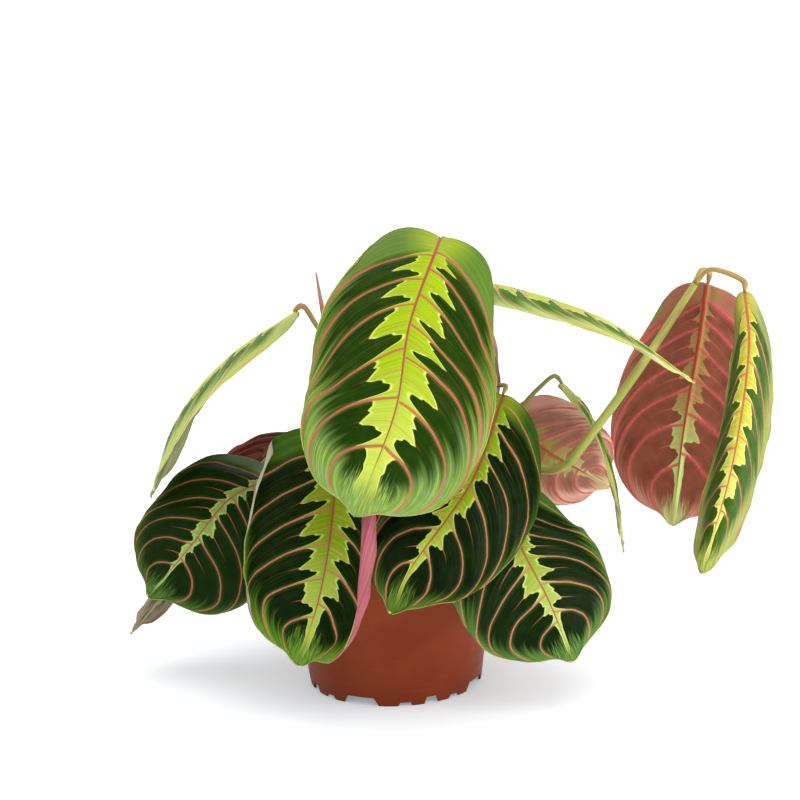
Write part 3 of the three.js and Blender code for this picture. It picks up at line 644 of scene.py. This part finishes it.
def close_mesh(mesh, fill=False, outwards=False):
    """Merges seams and collapsed ends, and closes open ends."""
    bm = bmesh.new()
    bm.from_mesh(mesh)
    bmesh.ops.remove_doubles(bm, verts=bm.verts, dist=2e-6)
    if fill:
        bmesh.ops.holes_fill(bm, edges=[e for e in bm.edges if e.is_boundary], sides=0)
    if outwards:
        bmesh.ops.recalc_face_normals(bm, faces=bm.faces)
    for face in bm.faces:
        face.smooth = True
    return write_mesh(bm, mesh)


def add_piece(name, mesh, materials, node):
    """Puts a finished mesh in the scene on the plant's body, in place of its CAD node."""
    piece = add_object(name, mesh)
    for material in materials:
        mesh.materials.append(material)
    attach(piece, "root")
    if node:
        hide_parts(node)
    return piece


def blade_shape(leaf, s, t):
    """Middle surface of a blade: points, unit normals and distances, from s along and t across."""
    path = SmoothPath(leaf["rib"])
    skew = leaf.get("skew", 1)
    blunt = leaf.get("blunt", BLUNT)
    q = np.abs(t)
    side = np.sign(t)
    reach = 1 - (1 - BASE_REACH) * (1 - s) ** RIB_SWEEP
    curl = (1 - RIB_LEAN) * (1 - np.cos(np.pi / 2 * q)) + RIB_LEAN * q
    along = s + (reach - s) * curl
    place = reach + (along - reach) * smooth(0, 0.06, s) * (1 - 0.85 * smooth(0.45, 0.85, s))
    swell = np.maximum(0, 1 - np.abs(2 * place ** skew - 1) ** blunt) ** (1 / blunt)
    half = leaf["width"] / 2 * (1 + leaf.get("uneven", 0) * side) * swell
    across = half * np.sin(np.pi / 2 * q)
    back = leaf.get("lobe", 4) / path.length * (1 - s) ** 6
    along = along - back * np.sin(np.pi * np.minimum(q * 1.15, 1))
    point = np.exp(-((across / (0.07 * leaf["width"])) ** 2))
    along = along + TIP / path.length * point * smooth(0.84, 1, along)
    share = np.clip(along, 0, 1)

    centre = path.point(share)
    tangent = path.tangent(share)
    centre = centre + tangent * ((along - share) * path.length)[:, None]
    first, last = (unit(np.array(face, float)) for face in leaf["faces"])
    face = unit(first + (last - first) * share[:, None])
    right = unit(np.cross(tangent, face))
    up = np.cross(right, tangent)

    left_bend, right_bend = (np.array((*b, 0, 0)[:6], float) for b in leaf["bend"])
    bend = np.where((side < 0)[:, None], left_bend, right_bend)
    fold, arch, roll = (bend[:, k] + (bend[:, k + 1] - bend[:, k]) * share for k in (0, 2, 4))
    roll_from = leaf.get("rollFrom", 0.6)

    def angle_at(x):
        wide = x / (leaf["width"] / 2)
        near = x / np.maximum(half, 1e-6)
        rolled = np.clip((near - roll_from) / (1 - roll_from), 0, 1)
        return np.radians(fold * np.minimum(1, wide * 6) + arch * wide + roll * rolled)

    out = np.zeros_like(s)
    down = np.zeros_like(s)
    for k in range(BEND_STEPS):
        angle = angle_at(across * (k + 0.5) / BEND_STEPS)
        out += np.cos(angle) * across / BEND_STEPS
        down += np.sin(angle) * across / BEND_STEPS
    angle = angle_at(across)
    normal = up * np.cos(angle)[:, None] + right * (side * np.sin(angle))[:, None]
    centre = centre + right * (side * out)[:, None] - up * down[:, None]

    ripple = WAVE * np.sin(2 * np.pi * WAVES * s + side) * q ** 3 * (1 - s) ** 0.3
    centre = centre + normal * ripple[:, None]
    return centre, normal, across, along * path.length


def rib_places(leaf, side):
    """Where the side ribs of a half leave the midrib, from the base (0) to the tip (1)."""
    if "veins" in leaf:
        return leaf["veins"][0 if side < 0 else 1]
    count = leaf.get("ribs", 6)
    start = 0.45 if side < 0 else 0.8
    return [((k + start) / (count + 0.9)) ** 1.1 for k in range(count)]


def rib_phase(marks, s, t):
    """Counts the side ribs from the base: whole on a rib and halfway between two in the middle."""
    phases = [np.interp(s, [0, *at, 1], [0.3, *range(1, len(at) + 1), len(at) + 0.75]) for at in marks]
    return np.where(t < 0, *phases)


def rib_spacing(leaf, s, t, marks):
    """Millimetres between neighbouring side ribs, square to them."""
    step = 0.004
    further = s + np.where(s < 0.5, step, -step)
    wider = t + np.where(np.abs(t) < 0.5, step, -step) * np.where(t < 0, -1, 1)
    flat = []
    for at_s, at_t in ((s, t), (further, t), (s, wider)):
        _, _, across, along = blade_shape(leaf, at_s, at_t)
        flat.append((across, along))
    (x, y), (x_s, y_s), (x_t, y_t) = flat
    area = np.abs((x_s - x) * (y_t - y) - (y_s - y) * (x_t - x))
    rib_step = np.maximum(np.hypot(x_t - x, y_t - y), 1e-6)
    change = np.abs(rib_phase(marks, further, t) - rib_phase(marks, s, t))
    return np.clip(area / rib_step / np.maximum(change, 1e-6), 0.5, 40)


def blade_mesh(name, leaf, columns, rows, seed):
    """Upper skin of a blade with sunk midrib and side ribs and swollen panels between them."""
    marks = [rib_places(leaf, side) for side in (-1, 1)]
    chance = random.Random(seed)
    turns = [chance.uniform(0, 6.28) for _ in range(6)]

    def place(u, v):
        t = 2 * u - 1
        t = np.sign(t) * np.abs(t) ** 1.2
        s = v
        q = np.abs(t)
        centre, normal, across, along = blade_shape(leaf, s, t)
        phase = rib_phase(marks, s, t)
        apart = rib_spacing(leaf, s, t, marks)
        gap = (0.5 - np.abs((phase % 1) - 0.5)) * apart
        flat = (1 - s) ** 0.4 * smooth(-0.02, 0.12, s)
        pleat = -PLEAT * np.cos(2 * np.pi * phase) * np.sin(np.pi * q) * flat
        groove = -GROOVE_DEPTH * np.exp(-((gap / GROOVE_HALF) ** 2)) * (1 - q) ** 0.5
        groove *= smooth(0, 0.05, q)
        channel = -CHANNEL_DEPTH * np.exp(-((across / CHANNEL_HALF) ** 2)) * (1 - 0.6 * s)
        # puckers of a few tenths of a millimetre, and a fine wave at the margin
        crinkle = 0.16 * np.sin(across * 0.55 + turns[0]) * np.sin(along * 0.43 + turns[1])
        crinkle += 0.10 * np.sin(across * 1.3 + turns[2]) * np.sin(along * 0.9 + turns[3])
        edge = 0.35 * np.sin(along * 0.33 + turns[4]) * q ** 8 * flat
        lift = pleat + groove + channel + crinkle * smooth(0, 0.3, q) * flat + edge
        lift -= 0.2 * (1 - smooth(0, 0.15, s))
        points = centre + normal * lift[:, None]
        maps = {
            "ribs": np.stack([q, phase], -1),
            "zone": np.stack([s, 1.0 * (t > 0)], -1),
            "size": np.stack([apart, 0 * apart], -1),
            "real": np.stack([0.5 + np.sign(t) * across * 0.01, along * 0.01], -1),
        }
        # thickness as a share of the keel's
        thick = 0.16 + 0.84 * np.exp(-((across / 0.95) ** 2)) * (1 - 0.75 * s) * (s < 0.97)
        thick += 0.07 * np.exp(-((gap / 0.6) ** 2)) * (1 - q)
        return points, maps, np.clip(thick, 0, 1)

    return sheet_mesh(name, columns, rows, place)


def stalk_mesh(name, path, radius_at, sides, rings, groove=0.0):
    """Round bar along a path whose radius follows radius_at(share), with a groove on one side."""
    shares = np.linspace(0, 1, rings + 1)
    centres = path.point(shares)
    tangents = path.tangent(shares)
    side_vectors = [np.array([1.0, 0, 0])]
    before = np.array([0, 0, 1.0])
    for tangent in tangents:
        turn = Vector(before).rotation_difference(Vector(tangent))
        side_vectors.append(np.array(turn @ Vector(side_vectors[-1])))
        before = tangent
    sides_at = unit(np.array(side_vectors[1:]))
    others_at = np.cross(tangents, sides_at)

    def place(u, v):
        row = np.clip(np.rint(v * rings).astype(int), 0, rings)
        angle = u * 2 * np.pi
        radius = radius_at(v, angle) * (1 - groove * np.exp(-(((angle - np.pi) / 0.5) ** 2)))
        points = (centres[row] + sides_at[row] * (radius * np.cos(angle))[:, None]
                  + others_at[row] * (radius * np.sin(angle))[:, None])
        maps = {
            "stalk": np.stack([u, v * path.length * 0.1], -1),
            "rise": np.stack([u, v], -1),
        }
        return points, maps, None

    mesh, _ = sheet_mesh(name, sides, rings, place)
    return close_mesh(mesh, fill=True, outwards=True)


def spread(radii, share):
    """Radius at a share of the length, the given radii spread evenly over it."""
    return np.interp(share * (len(radii) - 1), range(len(radii)), radii)


def standing(foot, path):
    """Points of a stalk that starts upright in its socket in the soil."""
    x, y = foot
    return [(x, y, SOCKET_FLOOR), (x, y, SOIL_TOP + 2), (x, y, SOIL_TOP + 5), *path]


def soil_height(x, y):
    """Uneven top of the soil."""
    wide = np.sin(x * 0.11 + 1) * np.cos(y * 0.13)
    fine = np.sin(x * 0.31 + y * 0.23)
    return SOIL_TOP + SOIL_BUMP * (wide + 0.4 * fine)


class PlantPotSettings(bpy.types.PropertyGroup):
    """Sizes and colour of the pot."""

    colour: bpy.props.FloatVectorProperty(
        name="Plastic", description="Colour of the pot's plastic", subtype="COLOR", size=3,
        min=0, max=1, default=linear(0xA44A22)[:3])
    steps: bpy.props.IntProperty(
        name="Steps", description="Faces round the pot", default=180, min=48, max=360)


class PlantSoilSettings(bpy.types.PropertyGroup):
    """Look of the potting soil."""

    chips: bpy.props.IntProperty(
        name="Chips", description="Bark and peat crumbs on the soil", default=900, min=0, max=3000)
    chip_size: bpy.props.FloatProperty(
        name="Chip size", description="Size of a typical crumb", default=0.0019,
        min=0.0005, max=0.006, unit="LENGTH")


class PlantLeafSettings(bpy.types.PropertyGroup):
    """Detail and thickness of the leaves."""

    columns: bpy.props.IntProperty(
        name="Columns", description="Faces across a blade", default=84, min=16, max=160)
    rows: bpy.props.IntProperty(
        name="Rows", description="Faces along a blade", default=96, min=16, max=160)
    keel: bpy.props.FloatProperty(
        name="Keel", description="Thickness of a blade at its midrib", default=0.0021,
        min=0.0004, max=0.004, unit="LENGTH")


class PlantStageSettings(bpy.types.PropertyGroup):
    """Floor and lights."""

    floor: bpy.props.FloatProperty(
        name="Floor", description="Width of the floor", default=16.0, min=1.0, unit="LENGTH")
    power: bpy.props.FloatProperty(
        name="Light", description="Strength of the studio lights", default=1.0, min=0.0, max=10.0)


class PLANT_OT_pot(bpy.types.Operator):
    """Turn the pot, cut its foot and drain holes and give it moulded plastic"""

    bl_idname = "plant.pot"
    bl_label = "Nursery pot"

    def execute(self, context):
        steps = context.scene.plant_pot.steps
        inside = SKIRT_HEIGHT + POT_FLOOR
        # radius and height of a corner of the section, then the small steps that round it
        corners = [
            (0, 0, [(0, 0)]),
            (PAD_RADIUS, 0, [(-0.4, 0), (0, 0.4), (0, SKIRT_HEIGHT)]),
            (inner_radius(SKIRT_HEIGHT), SKIRT_HEIGHT, [(-0.4, 0), (0, -0.4)]),
            (inner_radius(0), 0, [(0, 0)]),
            (FOOT_RADIUS, 0, [(-0.3, 0), (0, 0.4)]),
            *[(FOOT_RADIUS + POT_SLOPE * z, z, [(0, 0)]) for z in range(6, 90, 6)],
            (SHOULDER_RADIUS, SHOULDER_Z, [(-0.2, -1.5), (0.05, -0.9), (0.5, -0.5)]),
            (COLLAR_RADIUS, SHOULDER_Z, [(-0.7, -0.08), (-0.2, 0.15), (0, 0.6), (0.35, 5)]),
            (RIM_RADIUS, POT_HEIGHT, [(-0.9, -2.6), (-0.2, -2.3), (0, -1.8), (0, -0.6), (-0.15, -0.15),
                                      (-0.6, 0), (-1.8, 0), (-2.2, -0.2), (-2.3, -0.6)]),
            (COLLAR_RADIUS - POT_WALL, SHOULDER_Z, [(0, 2), (-0.6, 1.3)]),
            (SHOULDER_RADIUS - POT_WALL, SHOULDER_Z, [(0.5, 0.8)]),
            (inner_radius(SHOULDER_Z - 0.5), SHOULDER_Z, [(0, -0.5)]),
            (inner_radius(inside + 1), inside, [(0, 1)]),
            (inner_radius(inside), inside, [(-1, 0)]),
            (0, inside, [(0, 0)]),
        ]
        outline = [(r + out, z + up) for r, z, steps_at in corners for out, up in steps_at]
        bm = bmesh.new()
        verts = [bm.verts.new((r * MM, 0, z * MM)) for r, z in outline]
        edges = [bm.edges.new(pair) for pair in zip(verts, verts[1:])]
        bmesh.ops.spin(bm, geom=verts + edges, cent=(0, 0, 0), axis=(0, 0, 1), angle=2 * math.pi,
                       steps=steps, use_merge=True, use_duplicate=False)
        bmesh.ops.remove_doubles(bm, verts=bm.verts, dist=2e-6)
        bmesh.ops.recalc_face_normals(bm, faces=bm.faces)
        solid = add_object("pot_blank", write_mesh(bm, bpy.data.meshes.new("nursery_pot")))
        cutter = self.cutter()
        cut = solid.modifiers.new("openings", "BOOLEAN")
        cut.operation = "DIFFERENCE"
        cut.solver = "EXACT"
        cut.object = cutter
        context.view_layer.update()
        evaluated = solid.evaluated_get(context.evaluated_depsgraph_get())
        finished = bpy.data.meshes.new_from_object(evaluated)
        finished.name = "nursery_pot"
        for old in (solid, cutter):
            bpy.data.objects.remove(old)
        finished.materials.clear()
        add_piece("nursery_pot", finished, [pot_plastic("Moulded polypropylene, terracotta")],
                  "pot")
        self.soften(finished)
        return {"FINISHED"}

    def cutter(self):
        """Wedges through the foot and pins through the floor, as one mesh."""
        bm = bmesh.new()
        for turn in range(4):
            for start, mouth, high, draft in NOTCHES:
                made = bmesh.ops.create_cube(bm, size=1)
                edges = list({edge for vert in made["verts"] for edge in vert.link_edges})
                cuts = 3
                bmesh.ops.subdivide_edges(bm, edges=edges, cuts=cuts, use_grid_fill=True)
                points = (cuts + 2) ** 3 - cuts ** 3
                for vert in list(bm.verts)[-points:]:
                    along, through, rise = vert.co + Vector((0.5, 0.5, 0.5))
                    height = rise * (high + 1) - 1
                    trim = draft * max(0, height) / high
                    angle = math.radians(turn * 90 + start + trim + (mouth - 2 * trim) * along)
                    radius = FOOT_RADIUS - 4 + 8 * through
                    vert.co = Vector((radius * math.sin(angle), -radius * math.cos(angle), height)) * MM
        for i in range(DRAIN_COUNT):
            angle = (i + 0.5) / DRAIN_COUNT * 2 * math.pi
            at = Vector((DRAIN_CIRCLE * math.cos(angle), DRAIN_CIRCLE * math.sin(angle),
                         SKIRT_HEIGHT + 1))
            bmesh.ops.create_cone(bm, cap_ends=True, segments=32, radius1=DRAIN_RADIUS * MM,
                                  radius2=DRAIN_RADIUS * MM, depth=6 * MM,
                                  matrix=Matrix.Translation(at * MM))
        bmesh.ops.recalc_face_normals(bm, faces=bm.faces)
        return add_object("pot_openings", write_mesh(bm, bpy.data.meshes.new("pot_openings")))

    def soften(self, mesh):
        """Smooth shading with hard edges kept at the openings."""
        bm = bmesh.new()
        bm.from_mesh(mesh)
        bmesh.ops.remove_doubles(bm, verts=bm.verts, dist=1e-6)
        for face in bm.faces:
            face.smooth = True
        for edge in bm.edges:
            edge.smooth = len(edge.link_faces) == 2 and edge.calc_face_angle() < math.radians(32)
        write_mesh(bm, mesh)


class PLANT_OT_soil(bpy.types.Operator):
    """Fill the pot with uneven soil and scatter bark and peat crumbs over it"""

    bl_idname = "plant.soil"
    bl_label = "Potting soil"

    def execute(self, context):
        settings = context.scene.plant_soil
        floor = SKIRT_HEIGHT + POT_FLOOR + GAP
        rim = inner_radius(SOIL_TOP - 3) - 1.2 * GAP
        foot = inner_radius(floor + 1.4) - 1.2 * GAP

        def place(u, v):
            angle = u * 2 * np.pi
            radius = np.interp(v, [0, 0.1, 0.14, 0.3, 0.33, 1], [0, foot - 1.6, foot, rim, rim - 1, 0])
            x, y = radius * np.cos(angle), radius * np.sin(angle)
            rough = (0.5 * np.sin(x * 1.3 + 2) * np.sin(y * 1.5)
                     + 0.3 * np.sin(x * 2.9) * np.cos(y * 2.6 + 1))
            top = soil_height(x, y) + rough * (v > 0.35) - 1.2 * (v < 0.35)
            low = np.interp(v, [0, 0.1, 0.14, 0.3], [floor, floor, floor + 1.4, SOIL_TOP - 3])
            z = np.where(v > 0.31, top, low)
            maps = {"soil": np.stack([x * 0.01, y * 0.01], -1)}
            return np.stack([x, y, z], -1), maps, None

        mesh, _ = sheet_mesh("potting_soil", 128, 100, place)
        close_mesh(mesh, outwards=True)
        peat = soil_matter("Moist peat", 0x20150F, 0x3A2A1E, 0x5A4432, 420.0)
        add_piece("potting_soil", mesh, [peat], "soil")

        chance = random.Random(CRUMB_SEED)
        feet = [leaf["foot"] for leaf in LEAVES.values() if "foot" in leaf]
        feet += [stem["foot"] for stem in STEMS.values()]
        bm = bmesh.new()
        made = 0
        while made < settings.chips:
            radius = (rim - 3.5) * math.sqrt(chance.random())
            angle = chance.uniform(0, 2 * math.pi)
            x, y = radius * math.cos(angle), radius * math.sin(angle)
            if min((x - a) ** 2 + (y - b) ** 2 for a, b in feet) < CRUMB_CLEARANCE ** 2:
                continue
            size = settings.chip_size * chance.uniform(0.35, 1.1)
            z = float(soil_height(x, y)) * MM + size * 0.15
            turn = Matrix.Rotation(chance.uniform(0, 6.28), 4, "Z") @ Matrix.Rotation(
                chance.uniform(-0.5, 0.5), 4, "X")
            shape = Matrix.Diagonal((chance.uniform(0.8, 2.1), chance.uniform(0.6, 1),
                                     chance.uniform(0.3, 0.7), 1))
            bmesh.ops.create_icosphere(bm, subdivisions=1, radius=size,
                                       matrix=Matrix.Translation((x * MM, y * MM, z)) @ turn @ shape)
            made += 1
        for vert in bm.verts:
            vert.co += Vector([chance.uniform(-0.16, 0.16) * settings.chip_size for _ in range(3)])
        mesh = write_mesh(bm, bpy.data.meshes.new("bark_crumbs"))
        bark = soil_matter("Composted bark", 0x2C1B12, 0x553B29, 0x7A5C42, 700.0)
        add_piece("bark_crumbs", mesh, [bark], None)
        return {"FINISHED"}


class PLANT_OT_blades(bpy.types.Operator):
    """Model every leaf blade, with its own pattern on each side"""

    bl_idname = "plant.blades"
    bl_label = "Leaf blades"

    def execute(self, context):
        settings = context.scene.plant_leaf
        skins = {}
        for index, (name, leaf) in enumerate(LEAVES.items()):
            detail = HIDDEN_DETAIL if name.startswith("back_") else 1
            columns, rows = int(settings.columns * detail), int(settings.rows * detail)
            mesh, thickness = blade_mesh(f"leaf_{name}", leaf, columns, rows, LEAF_SEED + index)
            upper = leaf["upper"]
            under = leaf.get("under", "maroon")
            for finish, below in ((upper, False), (under, True)):
                if (finish, below) not in skins:
                    side = "underside" if below else "upper side"
                    skins[finish, below] = leaf_skin(
                        f"Leaf cuticle, {finish} {side}", finish, below, 3.0 + len(skins))
            piece = add_piece(f"leaf_{name}", mesh, [skins[upper, False], skins[under, True]],
                              f"blade_{name}")
            group = piece.vertex_groups.new(name="thickness")
            for vertex, weight in enumerate(thickness):
                group.add([vertex], float(weight), "REPLACE")
            close_mesh(mesh)
            self.turn_up(mesh, leaf)
            thick = piece.modifiers.new("thickness", "SOLIDIFY")
            thick.thickness = settings.keel
            thick.offset = -1
            thick.vertex_group = "thickness"
            thick.material_offset = 1
            thick.material_offset_rim = 0
            thick.use_even_offset = False
        return {"FINISHED"}

    def turn_up(self, mesh, leaf):
        """Flips the faces if they don't look to the leaf's upper side."""
        looks = sum((face.normal * face.area for face in mesh.polygons), Vector())
        wanted = Vector(leaf["faces"][0]).normalized() + Vector(leaf["faces"][1]).normalized()
        if looks.dot(wanted) < 0:
            mesh.flip_normals()


class PLANT_OT_stalks(bpy.types.Operator):
    """Model the petioles, the two stems and the rolled new leaf"""

    bl_idname = "plant.stalks"
    bl_label = "Stems and petioles"

    def execute(self, context):
        petiole = stalk_skin("Petiole skin, olive", 0x93A04C, 0x8E7A38, 0xA8643C, 0.42)
        shoot = stalk_skin("Petiole skin, amber", 0x9C8C42, 0xA87840, 0xA05A38, 0.40)
        stem = stalk_skin("Stem skin, light green", 0x8C9234, 0xAEB258, 0x7E6426, 0.42)
        rolled = stalk_skin("Rolled leaf, copper", 0xA87A4A, 0xB98A66, 0x8C4A38, 0.5)
        for name, leaf in LEAVES.items():
            rib = SmoothPath(leaf["rib"])
            start = np.array(leaf["rib"][0], float)
            heading = rib.tangent(np.array([0.0]))[0]
            tuck = leaf.get("tuck", 0)
            ending = [tuple(start - heading * back - np.array([0, 0, tuck * share]))
                      for back, share in ((APPROACH, 1), (0, 0.4))]
            grows = name in SHOOTS
            points = list(SHOOTS[name]) if grows else standing(leaf["foot"], leaf["petiole"])
            path = SmoothPath(points + ending, centripetal=True)
            radii = SHOOT_RADII if grows else PETIOLE_RADII
            long = path.length

            def radius_at(share, angle):
                base = spread(radii, share)
                joint = 0.2 * np.exp(-(((1 - share) * long - 4) / 2.6) ** 2)
                joint = joint - 0.4 * smooth(3.0, 0.0, (1 - share) * long)
                sheath = 0.25 * smooth(0.55, 0.0, share) if not grows else 0
                return base + joint + sheath - 0.05

            rings = 28 if grows else 56
            mesh = stalk_mesh(f"petiole_{name}", path, radius_at, 16, rings, groove=0.12)
            add_piece(f"petiole_skin_{name}", mesh, [shoot if grows else petiole],
                      f"petiole_{name}")
        for name, part in STEMS.items():
            path = SmoothPath(standing(part["foot"], part["path"]), centripetal=True)

            def stem_radius(share, angle):
                above = share - part["node"]
                ring = NODE_RING * np.exp(-((above * path.length / 1.2) ** 2))
                sheath = NODE_SHEATH * smooth(0.2, 0.0, above) * (above > 0)
                slim = 1 - STEM_SLIM * smooth(0.3, 0.6, share)
                return spread(part["radii"], share) * slim + ring + sheath

            mesh = stalk_mesh(f"stem_{name}", path, stem_radius, 20, 120, groove=0.4)
            add_piece(f"stem_skin_{name}", mesh, [stem], f"stem_{name}")
        path = SmoothPath(ROLLED_LEAF["path"], centripetal=True)

        def rolled_radius(share, angle):
            return spread(ROLLED_LEAF["radii"], share) * (1 + 0.06 * np.sin(2 * angle + share * 14))

        mesh = stalk_mesh("rolled_leaf_skin", path, rolled_radius, 16, 60, groove=0.2)
        add_piece("rolled_leaf_skin", mesh, [rolled], "rolled_leaf")
        return {"FINISHED"}


class PLANT_OT_stage(bpy.types.Operator):
    """Lay the pale floor, set the soft studio lights and place the camera"""

    bl_idname = "plant.stage"
    bl_label = "Floor, lights and camera"

    def execute(self, context):
        settings = context.scene.plant_stage
        bm = bmesh.new()
        bmesh.ops.create_grid(bm, x_segments=8, y_segments=8, size=settings.floor / 2)
        mesh = write_mesh(bm, bpy.data.meshes.new("floor"))
        mesh.materials.append(studio_floor("White acrylic"))
        floor = add_object("floor", mesh)

        world = bpy.data.worlds.new("Studio")
        world.use_nodes = True
        world.node_tree.nodes["Background"].inputs[0].default_value = (1, 1, 1, 1)
        world.node_tree.nodes["Background"].inputs[1].default_value = 1.0
        context.scene.world = world
        context.scene.view_settings.view_transform = "Standard"
        # name, place and diameter in metres, power in watts
        lamps = [("key", (0.25, -0.80, 1.0), 0.6, 3.4), ("side", (0.90, -0.38, 0.12), 0.4, 5.0),
                 ("left", (-0.90, 0.1, 0.8), 0.6, 0.8), ("top", (0.0, 0.45, 1.3), 1.0, 3.0)]
        for name, place, size, power in lamps:
            light = bpy.data.lights.new(name, "AREA")
            light.shape = "DISK"
            light.size = size
            light.energy = power * settings.power
            lamp = add_object(name, light)
            lamp.location = place
            aim = Vector((0.02, 0, 0.1)) - Vector(place)
            lamp.rotation_euler = aim.to_track_quat("-Z", "Y").to_euler()

        # camera fitted to the photograph: it looks down a little and is rolled by less than 2 degrees
        view = bpy.data.cameras.new("view")
        view.lens = 119.5
        view.sensor_width = 36
        view.clip_end = 60
        camera = add_object("view", view)
        right = Vector((0.99949, -0.00788, -0.03082)).normalized()
        forward = Vector((0, 0.9688, -0.2478)).normalized()
        up = right.cross(forward).normalized()
        right = forward.cross(up).normalized()
        turn = Matrix((right, up, -forward)).transposed().to_4x4()
        camera.matrix_world = Matrix.Translation((0.00636, -1.2594, 0.4652)) @ turn
        context.scene.camera = camera
        return {"FINISHED"}


class PLANT_PT_panel(bpy.types.Panel):
    """Lists the plant's pieces and their settings"""

    bl_label = "Potted prayer plant"
    bl_idname = "PLANT_PT_panel"
    bl_space_type = "VIEW_3D"
    bl_region_type = "UI"
    bl_category = "Plant"

    def draw(self, context):
        layout = self.layout
        for group, operator in (("plant_pot", PLANT_OT_pot), ("plant_soil", PLANT_OT_soil),
                                ("plant_leaf", PLANT_OT_blades), (None, PLANT_OT_stalks),
                                ("plant_stage", PLANT_OT_stage)):
            box = layout.box()
            if group:
                settings = getattr(context.scene, group)
                for key in settings.bl_rna.properties.keys():
                    if key not in {"rna_type", "name"}:
                        box.prop(settings, key)
            box.operator(operator.bl_idname)


SETTINGS = {
    "plant_pot": PlantPotSettings, "plant_soil": PlantSoilSettings,
    "plant_leaf": PlantLeafSettings, "plant_stage": PlantStageSettings,
}
CLASSES = (*SETTINGS.values(), PLANT_OT_pot, PLANT_OT_soil, PLANT_OT_blades, PLANT_OT_stalks,
           PLANT_OT_stage, PLANT_PT_panel)


def register():
    for cls in CLASSES:
        bpy.utils.register_class(cls)
    for name, cls in SETTINGS.items():
        setattr(bpy.types.Scene, name, bpy.props.PointerProperty(type=cls))


def unregister():
    for name in SETTINGS:
        delattr(bpy.types.Scene, name)
    for cls in reversed(CLASSES):
        bpy.utils.unregister_class(cls)


def main():
    register()
    bpy.ops.plant.stage()
    bpy.ops.plant.pot()
    bpy.ops.plant.soil()
    bpy.ops.plant.stalks()
    bpy.ops.plant.blades()
    bpy.context.view_layer.update()


if __name__ == "__main__":
    main()
